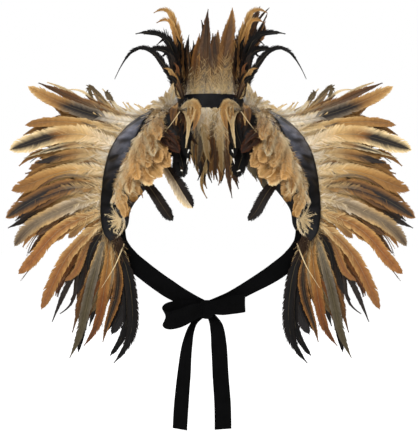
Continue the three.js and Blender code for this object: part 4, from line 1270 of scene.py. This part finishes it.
# Feathers rooted near the neck: place, share, middle (none: a plain bow), tip, width, colouring
NECK_CURLS = (
    (1.3, 0.13, (-66, -80, 14), (-64, -94, -34), 16, "brown"),
    (1.8, 0.13, (-10, -84, 30), (-31, -96, -45), 18, "gold"),
    (2.3, 0.13, (-30, -100, -20), (-44, -122, -76), 10, "all_cream"),
)
# Feathers lining the neck curl's hollow, dark partly with the painted shade of the hollow
HOLLOW_LINING = (
    (1.0, 0.2, None, (-66, -74, -26), 22, "hollow"),
    (1.3, 0.1, None, (-52, -76, -44), 22, "hollow"),
    (1.7, 0.1, None, (-38, -80, -50), 20, "hollow"),
    (2.0, 0.2, None, (-56, -84, -60), 20, "dark"),
    (2.3, 0.1, None, (-40, -88, -70), 22, "black"),
)
SHOULDER = (
    (0.22, 0.7, None, (-66, -28, 44), 14, "cream"),
    (0.42, 0.7, None, (-80, -28, 30), 14, "cream"),
    (0.62, 0.68, None, (-93, -26, 19), 14, "cream"),
    (0.82, 0.66, None, (-107, -26, 9), 14, "cream"),
    (1.02, 0.66, None, (-120, -32, -4), 14, "sand"),
)


def placed(table, face, outline, fills, seed, mix, fluff, loose, bunch=None):
    """Feathers rooted on the front yoke near the neck, with shorter ones beside each."""
    bunch = bunch or Bunch(seed, 1.8)
    rng = bunch.random
    for place, share, via, tip, width, colouring in table:
        for k in range(fills + 1):
            shift = rng.normal(0, 1, 3) * loose if k else np.zeros(3)
            row = place + (rng.normal(0, 0.12) if k else 0)
            across = share + (rng.uniform(-0.14, 0.08) if k else 0)
            point, normal = front_surface(np.array(max(row, 0.05)), np.array(across))
            point = point + normal * STRIP_LIFT
            short = rng.uniform(0.6, 0.97) if k else 1
            end = point + (np.array(tip, float) - point) * short + shift
            middle = point + (end - point) * 0.45 + normal * 7
            if via:
                middle = point + (np.array(via, float) - point) * short + shift * 0.5
            kind = colouring if k == 0 or rng.random() < 0.4 else rng.choice(MIXES[mix])
            wide = width * (rng.uniform(0.6, 0.95) if k else 1)
            bunch.feather(point, middle, end, wide, face, kind, outline=outline, fluff=fluff)
    return bunch


neck_curls = placed(NECK_CURLS[:2], (-0.2, -0.9, 0.3), "curled", 4, 41, "chest", 0.25, 3)
placed(NECK_CURLS[2:], (-0.2, -0.9, 0.3), "curled", 0, 41, "chest", 0.1, 3, neck_curls)
placed(HOLLOW_LINING, (0, -0.9, 0.4), "plain", 2, 41, "hollow", 0.0, 3, neck_curls)
neck_curls.quill(((-54, -94, -10), (-72, -101, -36), (-94, -107, -62)), 0.7, CREAM)
neck_curls.quill(((-26, -97, -6), (-36, -103, -38), (-42, -114, -74)), 1.0, SAND)
feather_pair("neck_curls", neck_curls, tan_feather, "neck_curl_feathers")
shoulder = placed(SHOULDER, (0, -0.95, 0.3), "downy", 5, 42, "pale", 0.5, 2)
for share in (0.05, 0.2, 0.36, 0.52, 0.68):
    yoke_down(shoulder, (0.1, 2.5), lambda row, share=share: share + 0 * row, 260, 8,
              (PALE_GREY, FLUFF, CREAM, SAND), (0.45, 0.75), 0.12)
SIDE_GAP, SIDE_DOWN = (-63, 0, 12), (170, 3)
side_gap = np.array(SIDE_GAP) + shoulder.random.normal(0, 1, SIDE_DOWN) * (2.5, 9, 6)
shoulder.patch(side_gap, shoulder.random.normal(0, 0.5, SIDE_DOWN) + (-0.5, -0.4, -0.3), TOWARDS_VIEW, 9,
               linear(PALE_GREY))
yoke_down(shoulder, (0.3, 2.4), inner_band, 260, 10, (PALE_GREY, CREAM, SAND), (0.7, 0.5), 0.5, 3)
feather_pair("shoulder_fluff", shoulder, cream_feather)

# Collar and nape: angle of the root from the middle of the back, middle, tip, width, colouring
COLLAR_INNER = (
    (-46, (-40, 40, 84), (-39, 50, 137), 22, "dark_tip"),
    (-29, (-26, 48, 90), (-20, 56, 140), 24, "fan_gold"),
    (-12, (-8, 54, 96), (-4, 62, 185), 22, "fan"),
    (5, (10, 54, 92), (14, 62, 146), 24, "fan_gold"),
    (22, (24, 48, 110), (40, 58, 187), 34, "fan_gold"),
    (39, (44, 42, 116), (91, 52, 189), 40, "fan"),
)
COLLAR_OUTER = (
    (-56, (-50, 44, 80), (-50, 66, 116), 18, "dark"),
    (-38, (-34, 58, 90), (-32, 78, 128), 20, "dark"),
    (-20, (-18, 66, 96), (-14, 82, 157), 20, "dark_tip"),
    (-2, (2, 68, 96), (4, 86, 142), 20, "fan_gold"),
    (16, (22, 66, 96), (28, 82, 158), 20, "brown"),
    (34, (42, 58, 100), (60, 76, 162), 22, "grey"),
    (50, (54, 44, 118), (109, 64, 187), 28, "striped"),
)
COLLAR_SIDE = (
    (68, (48, 30, 210), (104, 20, 172), 21, "hook"),
    (84, (58, 6, 160), (98, -8, 112), 20, "dark"),
    (98, (60, -8, 166), (136, -26, 131), 22, "black"),
    (112, (112, -30, 178), (172, -46, 47), 17, "black"),
    (126, (62, -44, 66), (84, -58, 68), 14, "hook"),
)
# Walls on the collar's sides: their dark and black colourings are partly painted shade of the ring's sides that turn
# away from the light.
COLLAR_WALL = (
    (58, (50, 28, 80), (48, 30, 128), 20, "dark"),
    (70, (54, 18, 70), (54, 18, 118), 20, "brown"),
    (80, (56, 8, 80), (62, 2, 130), 20, "black"),
    (90, (58, -2, 70), (70, -10, 118), 18, "dark"),
    (102, (60, -14, 62), (74, -22, 100), 18, "dark"),
    (116, (56, -26, 54), (66, -34, 80), 14, "rust"),
)
NAPE_INNER = (
    (-34, (-26, 58, -60), (-26, 60, -112), 20, "grey"),
    (-20, (-16, 60, -70), (-13, 60, -137), 18, "dark_tip"),
    (-6, (-4, 62, -80), (-5, 62, -164), 16, "sand"),
    (8, (10, 62, -76), (14, 62, -140), 20, "gold"),
    (22, (24, 60, -80), (40, 62, -164), 20, "brown"),
    (38, (64, 60, -60), (105, 63, -164), 34, "olive"),
)
NAPE_OUTER = (
    (-44, (-42, 66, -50), (-44, 72, -116), 24, "grey"),
    (-27, (-22, 72, -60), (-20, 78, -122), 20, "sand"),
    (-12, (-8, 74, -70), (-6, 80, -146), 20, "gold"),
    (3, (6, 76, -70), (18, 82, -136), 20, "grey"),
    (18, (22, 74, -74), (52, 80, -146), 22, "brown"),
    (32, (40, 72, -54), (56, 78, -118), 20, "dark"),
)


def round_neck(table, grow, height, outline, fills, seed, mix, fluff, loose, face=None, shortest=0.5, ragged=1.0,
               bunch=None, bend=0):
    """Feathers rooted in the neck band, with shorter ones beside each."""
    bunch = bunch or Bunch(seed, 2.2)
    rng = bunch.random
    for angle, via, tip, width, colouring in table:
        for k in range(fills + 1):
            at = angle + (rng.normal(0, 5) if k else 0)
            start = neck_point(np.array(at), grow, height)
            short = rng.uniform(shortest, 0.96) if k else 1
            shift = rng.normal(0, 1, 3) * loose * np.array([1, 0.4, 0.5]) if k else np.zeros(3)
            end = start + (np.array(tip, float) - start) * short + shift
            middle = start + (np.array(via, float) - start) * short + shift * 0.4
            middle = middle + ((rng.normal(0, bend), 0, 0) if k else 0)
            kind = colouring if k == 0 or rng.random() < 0.35 else str(rng.choice(MIXES[mix]))
            out = neck_outward(np.array(at)) if face is None else np.array(face)
            wide = width * (rng.uniform(0.75, 1.2) if k else 1)
            bunch.feather(start, middle, end, wide, out, kind, outline=outline, fluff=fluff, ragged=ragged)
    return bunch


collar_height = NECK_BAND_HEIGHT - 2
collar_inner = round_neck(COLLAR_INNER, -CLOTH / 2, collar_height, "plain", 3, 51, "collar", 0.34, 7, shortest=0.6,
                          bend=6)
feather_piece("collar_inner_feathers", collar_inner, "collar_inner", brown_feather)
collar_outer = round_neck(COLLAR_OUTER, -CLOTH / 2 + 1.7, collar_height, "plain", 4, 52, "collar", 0.3, 7,
                          shortest=0.62, bend=6)
feather_piece("collar_outer_feathers", collar_outer, "collar_outer", tan_feather)
collar_side = Bunch(53, 2.2)
TOWARDS_FRONT = (0.3, -0.95, 0)
for table, outline, fills, mix, loose, shortest, ragged in (
    (COLLAR_SIDE[:1], "curled", 1, "side", 2, 0.85, 1.0),
    (COLLAR_SIDE[1:3], "downy", 3, "side", 4, 0.72, 2.6),
    (COLLAR_SIDE[3:4], "hackle", 0, "side", 2, 0.55, 1.5),
    (COLLAR_SIDE[4:], "curled", 1, "side", 3, 0.8, 1.0),
    (COLLAR_WALL, "downy", 4, "side", 3, 0.6, 1.6),
):
    round_neck(table, -CLOTH / 2, collar_height, outline, fills, 53, mix, 0.15, loose, TOWARDS_FRONT, shortest, ragged,
               collar_side)
feather_piece("collar_side_feathers_right", collar_side, "collar_right", dark_feather)
feather_piece("collar_side_feathers_left", collar_side, "collar_left", dark_feather, mirror=True)
nape_inner = round_neck(NAPE_INNER, -CLOTH / 2 - 1.7, 1.5, "downy", 5, 54, "nape", 0.35, 9, shortest=0.55, bend=8)
feather_piece("nape_inner_feathers", nape_inner, "nape_inner", cream_feather)
nape_outer = round_neck(NAPE_OUTER, 1.6, 3, "plain", 5, 55, "nape", 0.35, 9, shortest=0.55, bend=8)
feather_piece("nape_outer_feathers", nape_outer, "nape_outer", tan_feather)

# Ribbon: centre line, direction of its width, share of the full width that isn't gathered there
RIBBON = 1.4
RIBBON_WIDTH = 32
STRAP_LEFT = (
    ((-162, -88.8, -214), (0.93, -0.21, 0.29), 0.7),
    ((-159, -81, -240), (0.9, -0.1, 0.4), 0.75),
    ((-146, -76, -266), (0.72, -0.04, 0.7), 1),
    ((-120, -80, -289), (0.57, -0.06, 0.82), 1),
    ((-74, -94, -322), (0.55, -0.06, 0.84), 1),
    ((-38, -103, -342), (0.46, -0.1, 0.87), 0.85),
    ((-7, -107, -354), (0.3, -0.1, 0.9), 0.6),
)
STRAP_RIGHT = (
    ((162, -88.8, -214), (-0.93, -0.21, 0.29), 0.7),
    ((159, -81, -240), (-0.9, -0.1, 0.4), 0.75),
    ((146, -76, -266), (-0.72, -0.04, 0.7), 1),
    ((118, -81, -290), (-0.57, -0.1, 0.8), 1),
    ((68, -97, -320), (-0.5, -0.4, 0.74), 0.85),
    ((34, -104, -338), (-0.4, -0.2, 0.8), 0.7),
    ((-7, -107, -354), (-0.3, -0.1, 0.9), 0.6),
)
LOOP_LEFT = (
    ((-7, -124, -355), (0.1, 0, 1), 0.62),
    ((-32, -134, -363), (0.16, 0, 1), 0.9),
    ((-58, -135, -374), (0.1, 0, 1), 1),
    ((-74, -131, -376), (0.02, 0, 1), 1),
    ((-78, -126, -370), (0, 0, 1), 1),
    ((-73, -120.5, -362), (-0.04, 0, 1), 1),
    ((-56, -118, -358), (0, 0, 1), 1),
    ((-32, -116.5, -355), (0, 0, 1), 0.85),
    ((-7, -117, -355), (0, 0, 1), 0.62),
)
LOOP_RIGHT = (
    ((-7, -124, -355), (-0.1, 0, 1), 0.62),
    ((20, -133, -353), (-0.08, 0, 1), 0.9),
    ((42, -134, -349), (-0.04, 0, 1), 1),
    ((56, -131, -347), (0, 0, 1), 1),
    ((60, -126, -346), (0, 0, 1), 1),
    ((55, -120.5, -346), (0, 0, 1), 1),
    ((38, -118, -347), (0, 0, 1), 1),
    ((18, -117, -352), (0, 0, 1), 0.85),
    ((-7, -117, -355), (0, 0, 1), 0.62),
)
TAIL_LEFT = (
    ((-12, -115, -364), (0.6, -0.6, -0.3), 0.4),
    ((-30, -114, -384), (0.62, -0.7, 0.3), 0.55),
    ((-41, -112, -420), (0.66, -0.7, 0.12), 0.85),
    ((-47, -109, -475), (0.78, -0.62, 0.08), 0.95),
    ((-51, -106, -525), (0.8, -0.6, 0.06), 1),
    ((-54, -104, -569), (0.8, -0.6, 0.05), 1),
)
TAIL_RIGHT = (
    ((-2, -115, -364), (0.8, 0.4, -0.2), 0.4),
    ((10, -114, -388), (0.86, 0.4, -0.1), 0.8),
    ((15, -111, -423), (0.9, 0.42, 0), 0.95),
    ((18, -108, -478), (0.88, 0.46, 0), 1),
    ((21, -106, -525), (0.9, 0.42, 0), 1),
    ((22, -104, -569), (0.92, 0.38, 0), 1),
)
KNOT_AT = np.array([-7, -116, -358.0])
KNOT_HALF = np.array([13, 13, 17.0])


def ribbon_piece(name, table, steps, node, wave):
    last = len(table) - 1
    places = np.linspace(0, last, steps + 1)
    centre = through([row[0] for row in table], places)
    wide = through([row[1] for row in table], places)
    full = np.interp(places, np.arange(last + 1), [row[2] for row in table])
    tangent = unit(np.gradient(centre, axis=0))
    across = unit(wide - tangent * np.sum(wide * tangent, axis=1, keepdims=True))
    normal = unit(np.cross(tangent, across))
    part = np.linspace(-1, 1, 13)
    half = RIBBON_WIDTH / 2 * full
    points = centre[:, None] + across[:, None] * (half[:, None] * part)[..., None]
    normals = np.broadcast_to(normal[:, None], points.shape)
    gather = (1 - full)[:, None] * 3.2 * np.cos(part * 3.5 * math.pi)
    roll = wave * np.sin(places * 1.9)[:, None] * (part**2 - 0.4)
    middle = gather + roll
    thin = RIBBON / 2 * np.clip((1 - np.abs(part)) * 9, 0.45, 1)
    piece = shell(name, points, normals, middle - thin, middle + thin, velvet)
    dress(piece, node)


for part, tables, steps, held, wave in (
    ("ribbon_strap", (STRAP_LEFT, STRAP_RIGHT), 60, "hung", 0.9),
    ("bow_loop", (LOOP_LEFT, LOOP_RIGHT), 64, "folded", 0.5),
    ("ribbon_tail", (TAIL_LEFT, TAIL_RIGHT), 56, "hung", 0.8),
):
    for side, table in zip(("left", "right"), tables):
        ribbon_piece(f"{part}_velvet_{side}", table, steps, f"{part}_{side}", wave)


def knot_piece():
    """The turn of ribbon round the middle of the bow, with the gathers that run over it."""
    rings, around = 22, 40
    pole = np.array([0, 0, KNOT_HALF[2] * 0.96])
    corners, faces = [], []
    for i in range(1, rings):
        a = math.pi * i / rings
        for k in range(around):
            b = 2 * math.pi * k / around
            soft = [math.copysign(abs(c) ** 0.7, c) for c in (math.cos(b), math.sin(b), math.cos(a))]
            ring = math.sin(a) ** 0.7
            fold = 1 - 0.045 * (0.5 + 0.5 * math.cos(9 * a + 0.6 * math.cos(b)))
            offset = np.array([ring * soft[0], ring * soft[1], soft[2]]) * KNOT_HALF * fold
            corners.append((KNOT_AT + offset) * MM)
    top, bottom = len(corners), len(corners) + 1
    corners += [(KNOT_AT + pole) * MM, (KNOT_AT - pole) * MM]
    for i in range(rings - 2):
        for k in range(around):
            a, b = i * around + k, i * around + (k + 1) % around
            faces.append((a, a + around, b + around, b))
    end = (rings - 2) * around
    for k in range(around):
        faces.append((top, k, (k + 1) % around))
        faces.append((bottom, end + (k + 1) % around, end + k))
    piece = closed_object("bow_knot_velvet", plain_mesh("bow_knot_velvet", corners, faces), velvet)
    dress(piece, "bow_knot")


knot_piece()
for helper in clump_objects:
    bpy.data.objects.remove(helper)


# Floor, lamps and surroundings, in metres
FLOOR_GAP = 0.002
FLOOR_HALF = 20


def add_stage():
    floor = cad_box[0][2] - FLOOR_GAP
    corners = [(x * FLOOR_HALF, y * FLOOR_HALF, floor) for x, y in ((-1, -1), (1, -1), (1, 1), (-1, 1))]
    mesh = plain_mesh("stage_floor", corners, [(0, 1, 2, 3)])
    mesh.materials.append(new_material("stage_pale", Base_Color=(0.75, 0.75, 0.75, 1), Roughness=0.95,
                                       Emission_Color=(1, 1, 1, 1), Emission_Strength=0.7)[0])
    link("stage_floor", mesh)


def add_light(name, at, towards, size, power):
    data = bpy.data.lights.new(name, "AREA")
    data.size = size
    data.energy = power
    light = bpy.data.objects.new(name, data)
    light.location = at
    aim = np.array(towards) - np.array(at)
    pitch = math.atan2(math.hypot(aim[0], aim[1]), -aim[2])
    light.rotation_euler = (pitch, 0, math.atan2(aim[1], aim[0]) - math.pi / 2)
    bpy.context.scene.collection.objects.link(light)


def add_world():
    """White where the camera sees it, and a soft grey light on the cape."""
    world = bpy.data.worlds.new("studio")
    world.use_nodes = True
    tree = world.node_tree
    light = tree.nodes["Background"]
    light.inputs["Color"].default_value = (1, 1, 1, 1)
    light.inputs["Strength"].default_value = 0.42
    white = add_node(tree, "ShaderNodeBackground", {"Color": (1, 1, 1, 1), "Strength": 1})
    rays = add_node(tree, "ShaderNodeLightPath").outputs["Is Camera Ray"]
    either = add_node(tree, "ShaderNodeMixShader", {0: rays, 1: light, 2: white})
    feed(tree, tree.nodes["World Output"].inputs["Surface"], either)
    bpy.context.scene.world = world


add_stage()
add_light("key_light", (-1.5, -3.2, 2.4), (0, 0, -0.15), 0.9, 105)
add_light("fill_light", (2.0, -3.4, 1.0), (0, 0, -0.2), 2.0, 40)
add_light("back_light", (0.3, 2.6, 2.6), (0, 0, -0.1), 2.0, 50)
add_world()
bpy.context.scene.view_settings.view_transform = "Standard"
